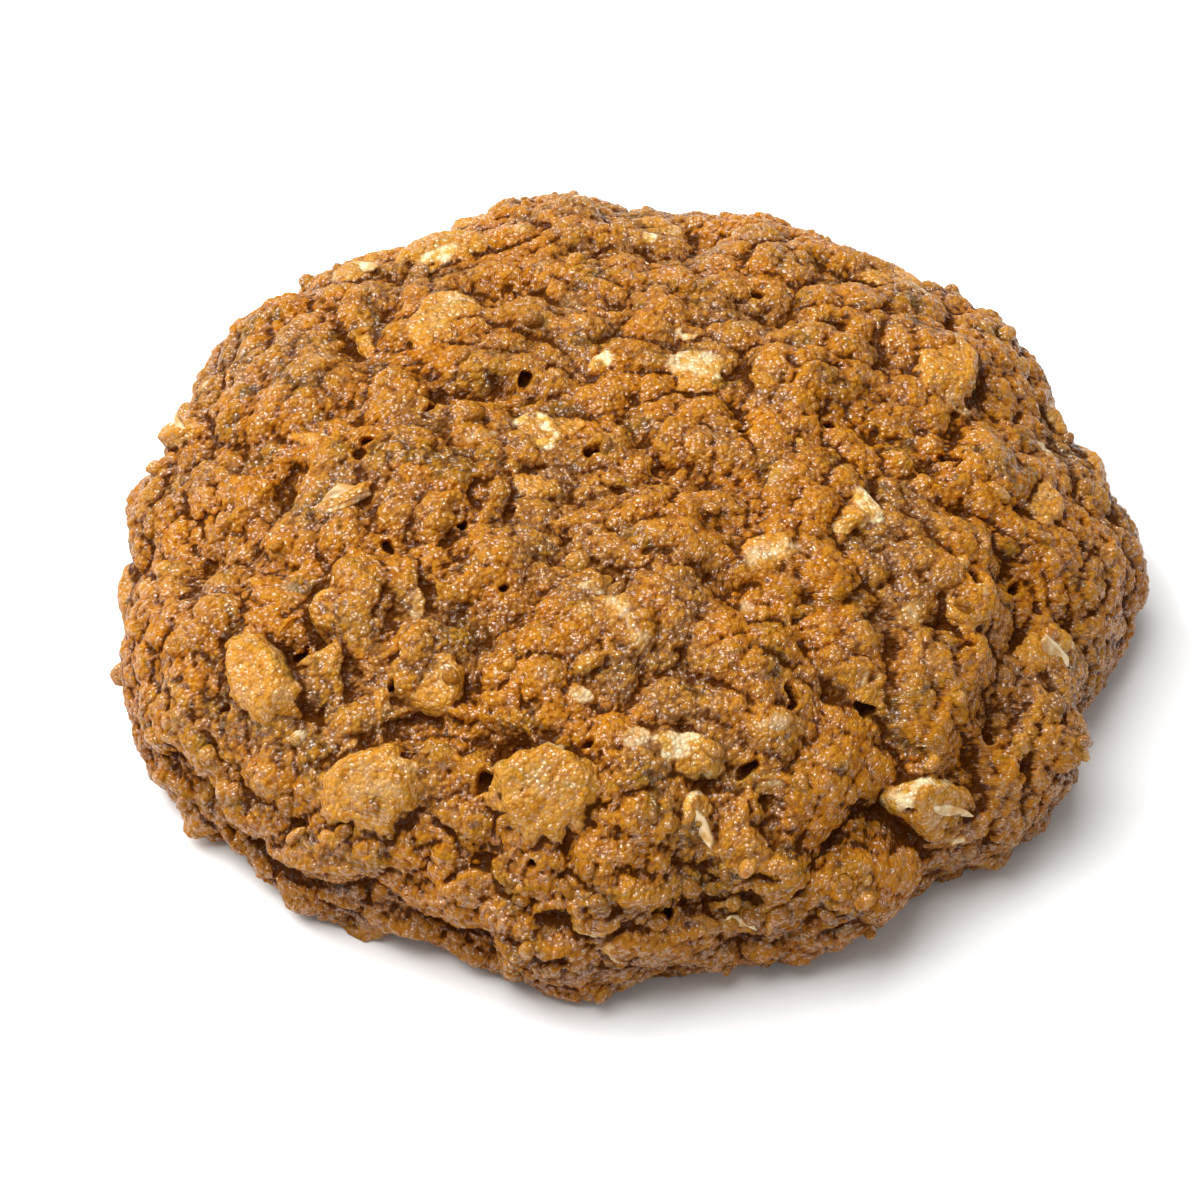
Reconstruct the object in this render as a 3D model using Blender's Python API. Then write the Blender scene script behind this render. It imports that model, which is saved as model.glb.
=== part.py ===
"""An oatmeal raisin cookie, 80 mm wide, as one closed solid.

The crumb is a grid wrapped over a domed form with a wavy outline and a flat
underside.  Clumps, lumps, cracks and a low foot are relief on it.  The rolled
oat flakes that stand proud are thin plates, joined to it by one Boolean union.

A place on the biscuit is a pair (clock, share).  The clock is the direction
seen from above, in degrees anticlockwise from +X.  The share is how far down
the form it lies, from 0 in the middle of the top to 1 at the foot's edge.
"""

from collections import namedtuple

import bmesh
import bpy
import numpy as np

MM = 0.001

# Plain form under the relief, its radii every 15 degrees from +X round by +Y
RADII = [41.0, 39.5, 40.0, 41.0, 40.0, 39.5, 41.0, 41.0, 38.5, 40.0, 38.5, 38.0,
         37.0, 38.0, 37.5, 36.0, 34.5, 34.7, 35.3, 34.8, 36.3, 35.5, 39.0, 37.5]
DOME_TOP = 21.0 * MM
WIDEST_LEVEL = 5.5 * MM
WIDEST_SHARE = 0.80
FOOT_SHARE_OF_RADIUS = 0.93
TOP_ROUNDNESS = 2.3
SIDE_ROUNDNESS = 2.2
PROFILE_STEPS = 200

# Mesh of the crumb
GRID_CELLS = 58
ANGLE_STEP = 0.002

# Soft unevenness and clumps of crumb
SWELL_SIZE = 16.0 * MM
SWELL_RISE = 0.9 * MM
CLUMP_SIZE = 6.5 * MM
CLUMP_RISE = 1.4 * MM
CRAG_SIZE = 3.4 * MM
CRAG_RISE = 0.9 * MM
CLUMP_REACH = 0.80
CLUMP_JITTER = 0.85
WARP_SIZE = 6.0 * MM
WARP_REACH = 1.3 * MM
SWELL_SEED = 11
CLUMP_SEED = 23
CRAG_SEED = 51
WARP_SEED = 37

Lump = namedtuple("Lump", "clock share across rise")
Groove = namedtuple("Groove", "wide deep places")
Flake = namedtuple("Flake", "clock share long wide turn lean lean_way rise")

# Rounded lumps, sizes in mm
LUMPS = [
    Lump(158, 0.55, 13, 1.2), Lump(215, 0.50, 8, 0.7), Lump(295, 0.20, 8, 0.9),
    Lump(37, 0.35, 11, 1.1), Lump(7, 0.56, 10, 1.2), Lump(346, 0.57, 12, 1.2),
    Lump(336, 0.78, 7, 0.6), Lump(322, 0.85, 6, 0.6), Lump(221, 0.94, 6, 1.1),
    Lump(229, 0.95, 6, 0.6), Lump(238, 0.95, 6, 0.4), Lump(249, 0.92, 8, 0.7),
    Lump(258, 0.90, 6, 0.4), Lump(271, 0.74, 9, 1.0), Lump(280, 0.87, 9, 0.9),
    Lump(303, 0.86, 10, 1.1), Lump(275, 0.64, 7, 0.7), Lump(289, 0.72, 9, 0.9),
    Lump(299, 0.65, 8, 0.7), Lump(313, 0.74, 7, 0.6), Lump(12, 0.24, 8, 0.9),
    Lump(325, 0.12, 7, 0.6), Lump(320, 0.36, 10, 0.7), Lump(96, 0.54, 13, 0.9),
    Lump(68, 0.62, 11, 0.9), Lump(240, 0.72, 9, 0.6), Lump(173, 0.33, 8, 0.8),
    Lump(172, 0.80, 9, 0.8), Lump(192, 0.76, 10, 0.9), Lump(140, 0.80, 9, 0.9),
]

# Cracks, creases and hollows, sizes in mm
GROOVES = [
    Groove(4.5, 1.5, [(208, 0.84), (217, 0.87), (226, 0.88), (236, 0.86), (246, 0.87), (254, 0.88)]),
    Groove(6.0, 1.3, [(352, 0.62), (344, 0.65), (334, 0.66), (325, 0.68), (318, 0.74)]),
    Groove(5.0, 1.3, [(292, 0.66), (299, 0.72), (305, 0.74), (312, 0.77)]),
    Groove(4.0, 1.4, [(238, 0.58), (245, 0.58), (252, 0.57)]),
    Groove(4.0, 1.8, [(211, 0.53), (213, 0.57)]),
    Groove(3.2, 0.9, [(10, 0.07), (347, 0.12), (350, 0.18)]),
    Groove(3.2, 0.8, [(128, 0.19), (136, 0.22), (150, 0.29)]),
    Groove(3.2, 0.8, [(118, 0.45), (104, 0.38), (92, 0.34)]),
    Groove(3.0, 0.9, [(20, 0.36), (12, 0.44), (4, 0.48)]),
    Groove(3.0, 0.8, [(190, 0.20), (208, 0.26), (222, 0.32)]),
    Groove(3.2, 1.1, [(262, 0.80), (270, 0.80), (278, 0.79), (287, 0.79)]),
    Groove(3.0, 1.0, [(176, 0.50), (184, 0.57), (190, 0.66)]),
]

# Oat flakes that stand proud: sizes in mm, angles in degrees.  The turn is of
# the long side from the outward way, the lean is how far the flake is tipped
# up, and the lean way is the side that is up, from the outward way too.
FLAKES = [
    Flake(215, 0.61, 8.5, 5.2, 85, 16, 175, 0.5),
    Flake(260, 0.61, 9.0, 7.5, 85, 15, 180, 0.7),
    Flake(237, 0.68, 9.5, 6.5, 130, 15, 200, 0.5),
    Flake(128, 0.39, 9.0, 6.2, 135, 16, 20, 0.6),
    Flake(61, 0.23, 6.5, 5.0, 85, 18, 300, 0.5),
    Flake(350, 0.35, 6.5, 5.0, 55, 22, 320, 0.5),
    Flake(282, 0.56, 7.0, 4.4, 60, 12, 0, 0.5),
    Flake(314, 0.78, 9.3, 5.2, 45, 12, 180, 0.8),
    Flake(136, 0.12, 7.2, 5.4, 75, 14, 120, 0.4),
    Flake(186, 0.41, 5.5, 3.2, 20, 24, 110, 0.2),
    Flake(161, 0.72, 7.0, 4.2, 141, 22, 60, 0.4),
    Flake(317, 0.56, 5.5, 4.6, 104, 14, 200, 0.3),
    Flake(283, 0.67, 5.2, 3.4, 11, 26, 250, 0.2),
    Flake(286, 0.83, 6.0, 4.0, 60, 16, 20, 0.4),
    Flake(342, 0.72, 7.5, 4.2, 60, 18, 0, 0.5),
    Flake(324, 0.28, 5.0, 3.8, 60, 16, 10, 0.4),
    Flake(28, 0.56, 8.5, 6.0, 60, 12, 340, 0.7),
    Flake(2, 0.60, 7.0, 5.0, 40, 12, 30, 0.4),
    Flake(127, 0.64, 7.5, 4.4, 100, 14, 20, 0.6),
    Flake(116, 0.60, 8.0, 5.4, 70, 12, 0, 0.7),
    Flake(236, 0.50, 6.0, 5.4, 70, 14, 180, 0.5),
    Flake(271, 0.31, 6.0, 4.4, 89, 12, 0, 0.4),
    Flake(188, 0.12, 6.0, 5.0, 130, 10, 30, 0.3),
    Flake(84, 0.60, 6.5, 5.0, 100, 14, 0, 0.5),
    Flake(50, 0.66, 7.5, 5.0, 80, 14, 0, 0.6),
    Flake(105, 0.78, 8.0, 5.0, 60, 25, 0, 0.5),
    Flake(211, 0.92, 5.5, 4.0, 30, 16, 0, 0.4),
    Flake(356, 0.84, 7.0, 5.0, 40, 20, 0, 0.4),
    Flake(322, 0.93, 5.5, 4.2, 60, 16, 0, 0.4),
    Flake(236, 0.95, 6.0, 4.5, 40, 15, 0, 0.2),
    Flake(18, 0.84, 7.5, 5.2, 60, 14, 180, 0.5),
    Flake(72, 0.84, 7.5, 5.2, 110, 14, 180, 0.5),
    Flake(140, 0.86, 7.5, 5.2, 50, 14, 180, 0.5),
    Flake(178, 0.88, 7.5, 5.2, 120, 14, 180, 0.5),
]
FLAKE_THICK = 1.6 * MM
FLAKE_BED = 0.8 * MM
FLAKE_WAVE = 0.35 * MM
FLAKE_EDGE_POWER = 0.8
FLAKE_SIDES = 12
FLAKE_RINGS = 5
FLAKE_CLEAR_OF_FLOOR = 0.6 * MM

CRUST_COLOUR = (0.30, 0.125, 0.032, 1.0)
CRUST_ROUGHNESS = 0.45


def outline(clock):
    """Radius of the plain form in each direction, a smooth wave through the radii."""
    count = len(RADII)
    waves = np.fft.rfft(np.array(RADII) * MM) / count
    radius = np.full_like(clock, waves[0].real)
    for order in range(1, count // 2):
        wave = waves[order]
        radius = radius + 2.0 * (wave.real * np.cos(order * clock) - wave.imag * np.sin(order * clock))
    return radius + waves[-1].real * np.cos(count // 2 * clock)


def profile():
    """Share, radius as a share of the outline, and level down the form's side."""
    angle = np.linspace(0.0, np.pi / 2.0, PROFILE_STEPS)
    below = angle[1:]
    upper_rise = DOME_TOP - WIDEST_LEVEL
    radius = np.concatenate([
        np.sin(angle) ** (2.0 / TOP_ROUNDNESS),
        FOOT_SHARE_OF_RADIUS + (1.0 - FOOT_SHARE_OF_RADIUS) * np.cos(below),
    ])
    level = np.concatenate([
        WIDEST_LEVEL + upper_rise * np.cos(angle) ** (2.0 / SIDE_ROUNDNESS),
        WIDEST_LEVEL * (1.0 - np.sin(below)),
    ])
    steps = np.hypot(np.diff(radius * np.mean(RADII) * MM), np.diff(level))
    length = np.concatenate([[0.0], np.cumsum(steps)])
    return length / length[-1], radius, level


PROFILE = profile()


def form(share, clock):
    """Points of the plain form, and the way its relief rises, for each share and clock."""
    known, radius, level = PROFILE
    reach = outline(clock) * np.interp(share, known, radius)
    flat = np.stack([np.cos(clock), np.sin(clock)], axis=-1)
    points = np.concatenate([flat * reach[..., None], np.interp(share, known, level)[..., None]], axis=-1)

    low = np.clip(share - ANGLE_STEP, 0.0, 1.0)
    high = np.clip(share + ANGLE_STEP, 0.0, 1.0)
    run = (np.interp(high, known, radius) - np.interp(low, known, radius)) * outline(clock)
    drop = np.interp(low, known, level) - np.interp(high, known, level)
    size = np.hypot(run, drop)
    upward = np.where(share < WIDEST_SHARE, run / size, 0.0)
    outward = np.where(share < WIDEST_SHARE, drop / size, 1.0)
    way = np.concatenate([flat * outward[..., None], upward[..., None]], axis=-1)
    return points, way


def place(clock_degrees, share):
    """Point and rising way of the plain form at one place."""
    points, way = form(np.array([share]), np.radians([float(clock_degrees)]))
    return points[0], way[0]


def cell_number(cell, seed):
    """A number from 0 to 1 for each whole-number cell, the same on every run."""
    cell = cell.astype(np.int64)
    mixed = (cell[..., 0] * 73856093) ^ (cell[..., 1] * 19349663) ^ (cell[..., 2] * 83492791)
    mixed = (mixed ^ (seed * 40503)) & 0x7FFFFFFF
    mixed = ((mixed ^ (mixed >> 13)) * 1274126177) & 0x7FFFFFFF
    mixed = ((mixed ^ (mixed >> 16)) * 668265263) & 0x7FFFFFFF
    return (mixed ^ (mixed >> 15)) / 0x7FFFFFFF


def swell(points, size, seed):
    """Smooth noise from -1 to 1 that changes over the given size."""
    scaled = points / size
    base = np.floor(scaled)
    part = scaled - base
    part = part * part * (3.0 - 2.0 * part)
    total = np.zeros(len(points))
    for corner in np.ndindex(2, 2, 2):
        corner = np.array(corner)
        weight = np.prod(np.where(corner == 1, part, 1.0 - part), axis=1)
        total += weight * cell_number(base + corner, seed)
    return 2.0 * total - 1.0


def clumps(points, size, seed):
    """Rounded clumps packed side by side, 1 at a clump's middle and 0 between clumps."""
    scaled = points / size
    base = np.floor(scaled)
    nearest = np.full(len(points), np.inf)
    for step in np.ndindex(3, 3, 3):
        cell = base + np.array(step) - 1.0
        shift = np.stack([cell_number(cell, seed + axis) for axis in range(3)], axis=1) - 0.5
        middle = cell + 0.5 + CLUMP_JITTER * shift
        nearest = np.minimum(nearest, np.linalg.norm(scaled - middle, axis=1))
    return np.clip(1.0 - (nearest / CLUMP_REACH) ** 2, 0.0, 1.0)


def distance_to_path(points, places):
    """Distance from each point to the path through the given places of the plain form."""
    path = [place(clock, share)[0] for clock, share in places]
    nearest = np.full(len(points), np.inf)
    for start, end in zip(path[:-1], path[1:]):
        along = end - start
        part = np.clip((points - start) @ along / (along @ along), 0.0, 1.0)
        nearest = np.minimum(nearest, np.linalg.norm(points - start - part[:, None] * along, axis=1))
    return nearest


def warped(points):
    """The points moved a little each way, so that no lump or crack comes out even."""
    moves = [swell(points, WARP_SIZE, WARP_SEED + axis) for axis in range(3)]
    return points + WARP_REACH * np.stack(moves, axis=1)


def relief(points):
    """How far the crumb stands off the plain form at each of its points."""
    points = warped(points)
    height = SWELL_RISE * swell(points, SWELL_SIZE, SWELL_SEED)
    height = height + CLUMP_RISE * (clumps(points, CLUMP_SIZE, CLUMP_SEED) - 0.5)
    height = height + CRAG_RISE * (clumps(points, CRAG_SIZE, CRAG_SEED) - 0.5)
    raised = np.zeros(len(points))
    for lump in LUMPS:
        middle, _ = place(lump.clock, lump.share)
        away = np.linalg.norm(points - middle, axis=1) / (lump.across * MM / 2.0)
        raised = np.maximum(raised, lump.rise * MM * np.clip(1.0 - away ** 2, 0.0, 1.0))
    sunk = np.zeros(len(points))
    for groove in GROOVES:
        away = distance_to_path(points, groove.places) / (groove.wide * MM / 2.0)
        sunk = np.maximum(sunk, groove.deep * MM * np.clip(1.0 - away ** 2, 0.0, 1.0))
    return height + raised - sunk


def disc_from_square(square):
    """Share and clock of each point of a square from -1 to 1, its middle at the top."""
    across, along = square[:, 0], square[:, 1]
    wide = np.abs(across) >= np.abs(along)
    share = np.where(wide, across, along)
    safe = np.where(share == 0.0, 1.0, share)
    turn = np.where(wide, np.pi / 4.0 * along / safe, np.pi / 2.0 - np.pi / 4.0 * across / safe)
    clock = turn + np.where(share < 0.0, np.pi, 0.0)
    return np.abs(share), clock


def crust_material():
    """The browned crust: amber brown, half glossy."""
    material = bpy.data.materials.new("browned_crust")
    material.use_nodes = True
    shader = material.node_tree.nodes["Principled BSDF"]
    shader.inputs["Base Color"].default_value = CRUST_COLOUR
    shader.inputs["Roughness"].default_value = CRUST_ROUGHNESS
    shader.inputs["Metallic"].default_value = 0.0
    return material


def add_object(name, mesh_data, collection):
    """A new object of the given mesh in the collection."""
    item = bpy.data.objects.new(name, mesh_data)
    collection.objects.link(item)
    return item


def crumb(collection):
    """The domed crumb with its relief, closed by a flat underside."""
    grid = bmesh.new()
    bmesh.ops.create_grid(grid, x_segments=GRID_CELLS, y_segments=GRID_CELLS, size=1.0)
    square = np.array([vertex.co[:] for vertex in grid.verts])
    share, clock = disc_from_square(square)
    points, way = form(share, clock)
    lift = relief(points)
    points = points + way * lift[:, None]
    points[:, 2] = np.where(share > 1.0 - 1e-9, 0.0, np.maximum(points[:, 2], FLAKE_CLEAR_OF_FLOOR))
    for vertex, point in zip(grid.verts, points):
        vertex.co = point
    rim = [edge for edge in grid.edges if edge.is_boundary]
    bmesh.ops.contextual_create(grid, geom=rim)
    bmesh.ops.triangulate(grid, faces=grid.faces[:])
    bmesh.ops.recalc_face_normals(grid, faces=grid.faces[:])
    mesh_data = bpy.data.meshes.new("cookie")
    grid.to_mesh(mesh_data)
    grid.free()
    return add_object("cookie", mesh_data, collection)


def flake(number, shape, collection):
    """One rolled oat: a cupped, wavy plate laid on the crumb with one side tipped up."""
    plate = bmesh.new()
    bmesh.ops.create_uvsphere(plate, u_segments=FLAKE_SIDES, v_segments=FLAKE_RINGS, radius=1.0)
    ball = np.array([vertex.co[:] for vertex in plate.verts])
    out_from_middle = np.hypot(ball[:, 0], ball[:, 1])
    around = np.arctan2(ball[:, 1], ball[:, 0])
    local = np.stack([
        ball[:, 0] * shape.long * MM / 2.0,
        ball[:, 1] * shape.wide * MM / 2.0,
        np.sign(ball[:, 2]) * np.abs(ball[:, 2]) ** FLAKE_EDGE_POWER * FLAKE_THICK / 2.0,
    ], axis=1)
    local[:, 2] += FLAKE_WAVE * out_from_middle ** 2 * np.sin(2.0 * around + number)

    point, rises = place(shape.clock, shape.share)
    middle = point + rises * (relief(point[None])[0] + shape.rise * MM - FLAKE_BED)
    clock = np.radians(shape.clock)
    sideways = np.array([-np.sin(clock), np.cos(clock), 0.0])
    outward = np.cross(sideways, rises)
    axes = np.stack([outward, sideways, rises])
    turned = local @ turn_about(2, shape.turn).T
    uphill = np.radians(shape.lean_way)
    tipped = turned.copy()
    tipped[:, 2] += np.tan(np.radians(shape.lean)) * (
        turned[:, 0] * np.cos(uphill) + turned[:, 1] * np.sin(uphill))
    points = middle + tipped @ axes
    points[:, 2] = np.maximum(points[:, 2], FLAKE_CLEAR_OF_FLOOR)
    for vertex, spot in zip(plate.verts, points):
        vertex.co = spot
    bmesh.ops.triangulate(plate, faces=plate.faces[:])
    bmesh.ops.recalc_face_normals(plate, faces=plate.faces[:])
    mesh_data = bpy.data.meshes.new(f"flake_{number}")
    plate.to_mesh(mesh_data)
    plate.free()
    return add_object(f"flake_{number}", mesh_data, collection)


def turn_about(axis, degrees):
    """Rotation matrix about one of the three axes."""
    angle = np.radians(degrees)
    first, second = [number for number in range(3) if number != axis]
    matrix = np.eye(3)
    matrix[first, first] = matrix[second, second] = np.cos(angle)
    matrix[first, second] = -np.sin(angle)
    matrix[second, first] = np.sin(angle)
    return matrix


def join(target, collection):
    """One Boolean union of the target with all objects of the collection, which then go."""
    union = target.modifiers.new("join_flakes", "BOOLEAN")
    union.operation = "UNION"
    union.operand_type = "COLLECTION"
    union.collection = collection
    union.solver = "MANIFOLD"
    bpy.context.view_layer.update()
    finished = target.evaluated_get(bpy.context.evaluated_depsgraph_get())
    joined = bpy.data.meshes.new_from_object(finished)
    target.modifiers.clear()
    target.data = joined
    for item in list(collection.objects):
        bpy.data.objects.remove(item)
    bpy.data.collections.remove(collection)


def keep_largest_shell(mesh_data):
    """Take away loose scraps and the walls of sealed hollows, which fills them."""
    shells = bmesh.new()
    shells.from_mesh(mesh_data)
    left = set(shells.verts)
    groups = []
    while left:
        group = set()
        waiting = [left.pop()]
        while waiting:
            vertex = waiting.pop()
            group.add(vertex)
            for edge in vertex.link_edges:
                other = edge.other_vert(vertex)
                if other in left:
                    left.remove(other)
                    waiting.append(other)
        groups.append(group)
    groups.sort(key=len)
    for group in groups[:-1]:
        bmesh.ops.delete(shells, geom=list(group), context="VERTS")
    shells.to_mesh(mesh_data)
    shells.free()


def centre(mesh_data):
    """Move the finished biscuit so that its box stands in the middle of the floor."""
    points = np.empty(len(mesh_data.vertices) * 3)
    mesh_data.vertices.foreach_get("co", points)
    points = points.reshape(-1, 3)
    low, high = points.min(axis=0), points.max(axis=0)
    points -= np.array([(low[0] + high[0]) / 2.0, (low[1] + high[1]) / 2.0, low[2]])
    mesh_data.vertices.foreach_set("co", points.ravel())
    mesh_data.update()


def build():
    """Build the biscuit in an emptied scene."""
    for item in list(bpy.data.objects):
        bpy.data.objects.remove(item)
    biscuit = bpy.data.collections.new("oatmeal_raisin_cookie")
    bpy.context.scene.collection.children.link(biscuit)
    flakes = bpy.data.collections.new("flakes")
    bpy.context.scene.collection.children.link(flakes)

    cookie = crumb(biscuit)
    for number, shape in enumerate(FLAKES):
        flake(number, shape, flakes)
    join(cookie, flakes)
    keep_largest_shell(cookie.data)
    centre(cookie.data)
    cookie.data.materials.clear()
    cookie.data.materials.append(crust_material())
    return cookie


build()
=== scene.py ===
"""Dresses an oatmeal raisin cookie, 80 mm wide, and sets it in a plain white studio.

The crumb is one dense grid over the same domed form as the solid under it, with
the same lumps, cracks and flakes, and finer crumb, holes and oat flakes added.
Every size is in metres.  A place on the cookie is a pair (clock, share): the
direction from above in degrees anticlockwise from +X, and how far down the form
it lies, from 0 in the middle of the top to 1 at the foot's edge.
"""

from collections import namedtuple
from functools import lru_cache

import bpy
import numpy as np
from bpy.props import FloatProperty, FloatVectorProperty, IntProperty, PointerProperty
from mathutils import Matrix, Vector


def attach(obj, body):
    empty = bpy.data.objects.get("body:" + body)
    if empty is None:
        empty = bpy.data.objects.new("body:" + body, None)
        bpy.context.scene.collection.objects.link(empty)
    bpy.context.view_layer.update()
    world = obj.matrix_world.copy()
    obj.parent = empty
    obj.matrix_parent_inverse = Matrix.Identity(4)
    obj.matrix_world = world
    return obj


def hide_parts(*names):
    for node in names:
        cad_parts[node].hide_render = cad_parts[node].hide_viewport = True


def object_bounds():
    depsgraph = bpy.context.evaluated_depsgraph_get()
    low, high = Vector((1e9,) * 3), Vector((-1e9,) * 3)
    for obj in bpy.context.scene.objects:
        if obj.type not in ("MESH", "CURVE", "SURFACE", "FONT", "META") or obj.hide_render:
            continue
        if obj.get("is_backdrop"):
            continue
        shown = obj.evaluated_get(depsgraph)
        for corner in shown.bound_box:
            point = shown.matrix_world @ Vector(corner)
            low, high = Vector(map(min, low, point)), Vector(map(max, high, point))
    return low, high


bl_info = {
    "name": "Oatmeal Cookie Looks",
    "version": (1, 0, 0),
    "blender": (4, 5, 0),
    "location": "View3D > Sidebar > Cookie",
    "description": "Builds the crumb, oat flakes and studio of a baked oat cookie",
    "category": "Object",
}

MM = 0.001
NODE = "cookie"
BODY = "root"

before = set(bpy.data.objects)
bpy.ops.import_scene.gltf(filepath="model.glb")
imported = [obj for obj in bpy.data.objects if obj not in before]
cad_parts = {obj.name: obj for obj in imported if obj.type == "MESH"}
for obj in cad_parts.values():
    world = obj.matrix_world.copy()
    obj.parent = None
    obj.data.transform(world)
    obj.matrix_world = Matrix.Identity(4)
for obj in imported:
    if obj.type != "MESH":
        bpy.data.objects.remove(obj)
CAD_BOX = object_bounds()

# Plain form, its radii every 15 degrees from +X round by +Y
RADII = [41.0, 39.5, 40.0, 41.0, 40.0, 39.5, 41.0, 41.0, 38.5, 40.0, 38.5, 38.0,
         37.0, 38.0, 37.5, 36.0, 34.5, 34.7, 35.3, 34.8, 36.3, 35.5, 39.0, 37.5]
OFF_CENTRE = np.array([1.7, 3.0, 0.0]) * MM
DOME_TOP = 21.0 * MM
WIDEST_LEVEL = 5.5 * MM
WIDEST_SHARE = 0.80
FOOT_SHARE_OF_RADIUS = 0.93
TOP_ROUNDNESS = 2.3
SIDE_ROUNDNESS = 2.2
PROFILE_STEPS = 200
ANGLE_STEP = 0.002
LOWEST = 0.05 * MM

# Soft unevenness and clumps, as in the solid but for the 3.4 mm clumps, 0.1 mm higher here
SWELL_SIZE = 16.0 * MM
SWELL_RISE = 0.9 * MM
CLUMP_SIZE = 6.5 * MM
CLUMP_RISE = 1.4 * MM
CRAG_SIZE = 3.4 * MM
CRAG_RISE = 1.0 * MM
CLUMP_REACH = 0.80
CLUMP_JITTER = 0.85
WARP_SIZE = 6.0 * MM
WARP_REACH = 1.3 * MM
SWELL_SEED = 11
CLUMP_SEED = 23
CRAG_SEED = 51
WARP_SEED = 37

Lump = namedtuple("Lump", "clock share across rise")
Groove = namedtuple("Groove", "wide deep places")
Flake = namedtuple("Flake", "clock share long wide turn lean lean_way rise bare")
Layer = namedtuple("Layer", "size rise seed")

# Rounded lumps, sizes in mm
LUMPS = [
    Lump(158, 0.55, 13, 1.2), Lump(215, 0.50, 8, 0.7), Lump(295, 0.20, 8, 0.9),
    Lump(37, 0.35, 11, 1.1), Lump(7, 0.56, 10, 1.2), Lump(346, 0.57, 12, 1.2),
    Lump(336, 0.78, 7, 0.6), Lump(322, 0.85, 6, 0.6), Lump(221, 0.94, 6, 1.1),
    Lump(229, 0.95, 6, 0.6), Lump(238, 0.95, 6, 0.4), Lump(249, 0.92, 8, 0.7),
    Lump(258, 0.90, 6, 0.4), Lump(271, 0.74, 9, 1.0), Lump(280, 0.87, 9, 0.9),
    Lump(303, 0.86, 10, 1.1), Lump(275, 0.64, 7, 0.7), Lump(289, 0.72, 9, 0.9),
    Lump(299, 0.65, 8, 0.7), Lump(313, 0.74, 7, 0.6), Lump(12, 0.24, 8, 0.9),
    Lump(325, 0.12, 7, 0.6), Lump(320, 0.36, 10, 0.7), Lump(96, 0.54, 13, 0.9),
    Lump(68, 0.62, 11, 0.9), Lump(240, 0.72, 9, 0.6), Lump(173, 0.33, 8, 0.8),
    Lump(172, 0.80, 9, 0.8), Lump(192, 0.76, 10, 0.9), Lump(140, 0.80, 9, 0.9),
]

# Cracks, creases and hollows, sizes in mm
GROOVES = [
    Groove(4.5, 1.5, [
        (208, 0.84), (217, 0.87), (226, 0.88), (236, 0.86), (246, 0.87), (254, 0.88)]),
    Groove(6.0, 1.3, [(352, 0.62), (344, 0.65), (334, 0.66), (325, 0.68), (318, 0.74)]),
    Groove(5.0, 1.3, [(292, 0.66), (299, 0.72), (305, 0.74), (312, 0.77)]),
    Groove(4.0, 1.4, [(238, 0.58), (245, 0.58), (252, 0.57)]),
    Groove(4.0, 1.2, [(211, 0.53), (213, 0.57)]),
    Groove(3.2, 0.9, [(10, 0.07), (347, 0.12), (350, 0.18)]),
    Groove(3.2, 0.8, [(128, 0.19), (136, 0.22), (150, 0.29)]),
    Groove(3.2, 0.8, [(118, 0.45), (104, 0.38), (92, 0.34)]),
    Groove(3.0, 0.9, [(20, 0.36), (12, 0.44), (4, 0.48)]),
    Groove(3.0, 0.8, [(190, 0.20), (208, 0.26), (222, 0.32)]),
    Groove(3.2, 1.1, [(262, 0.80), (270, 0.80), (278, 0.79), (287, 0.79)]),
    Groove(3.0, 1.0, [(176, 0.50), (184, 0.57), (190, 0.66)]),
]

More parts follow.
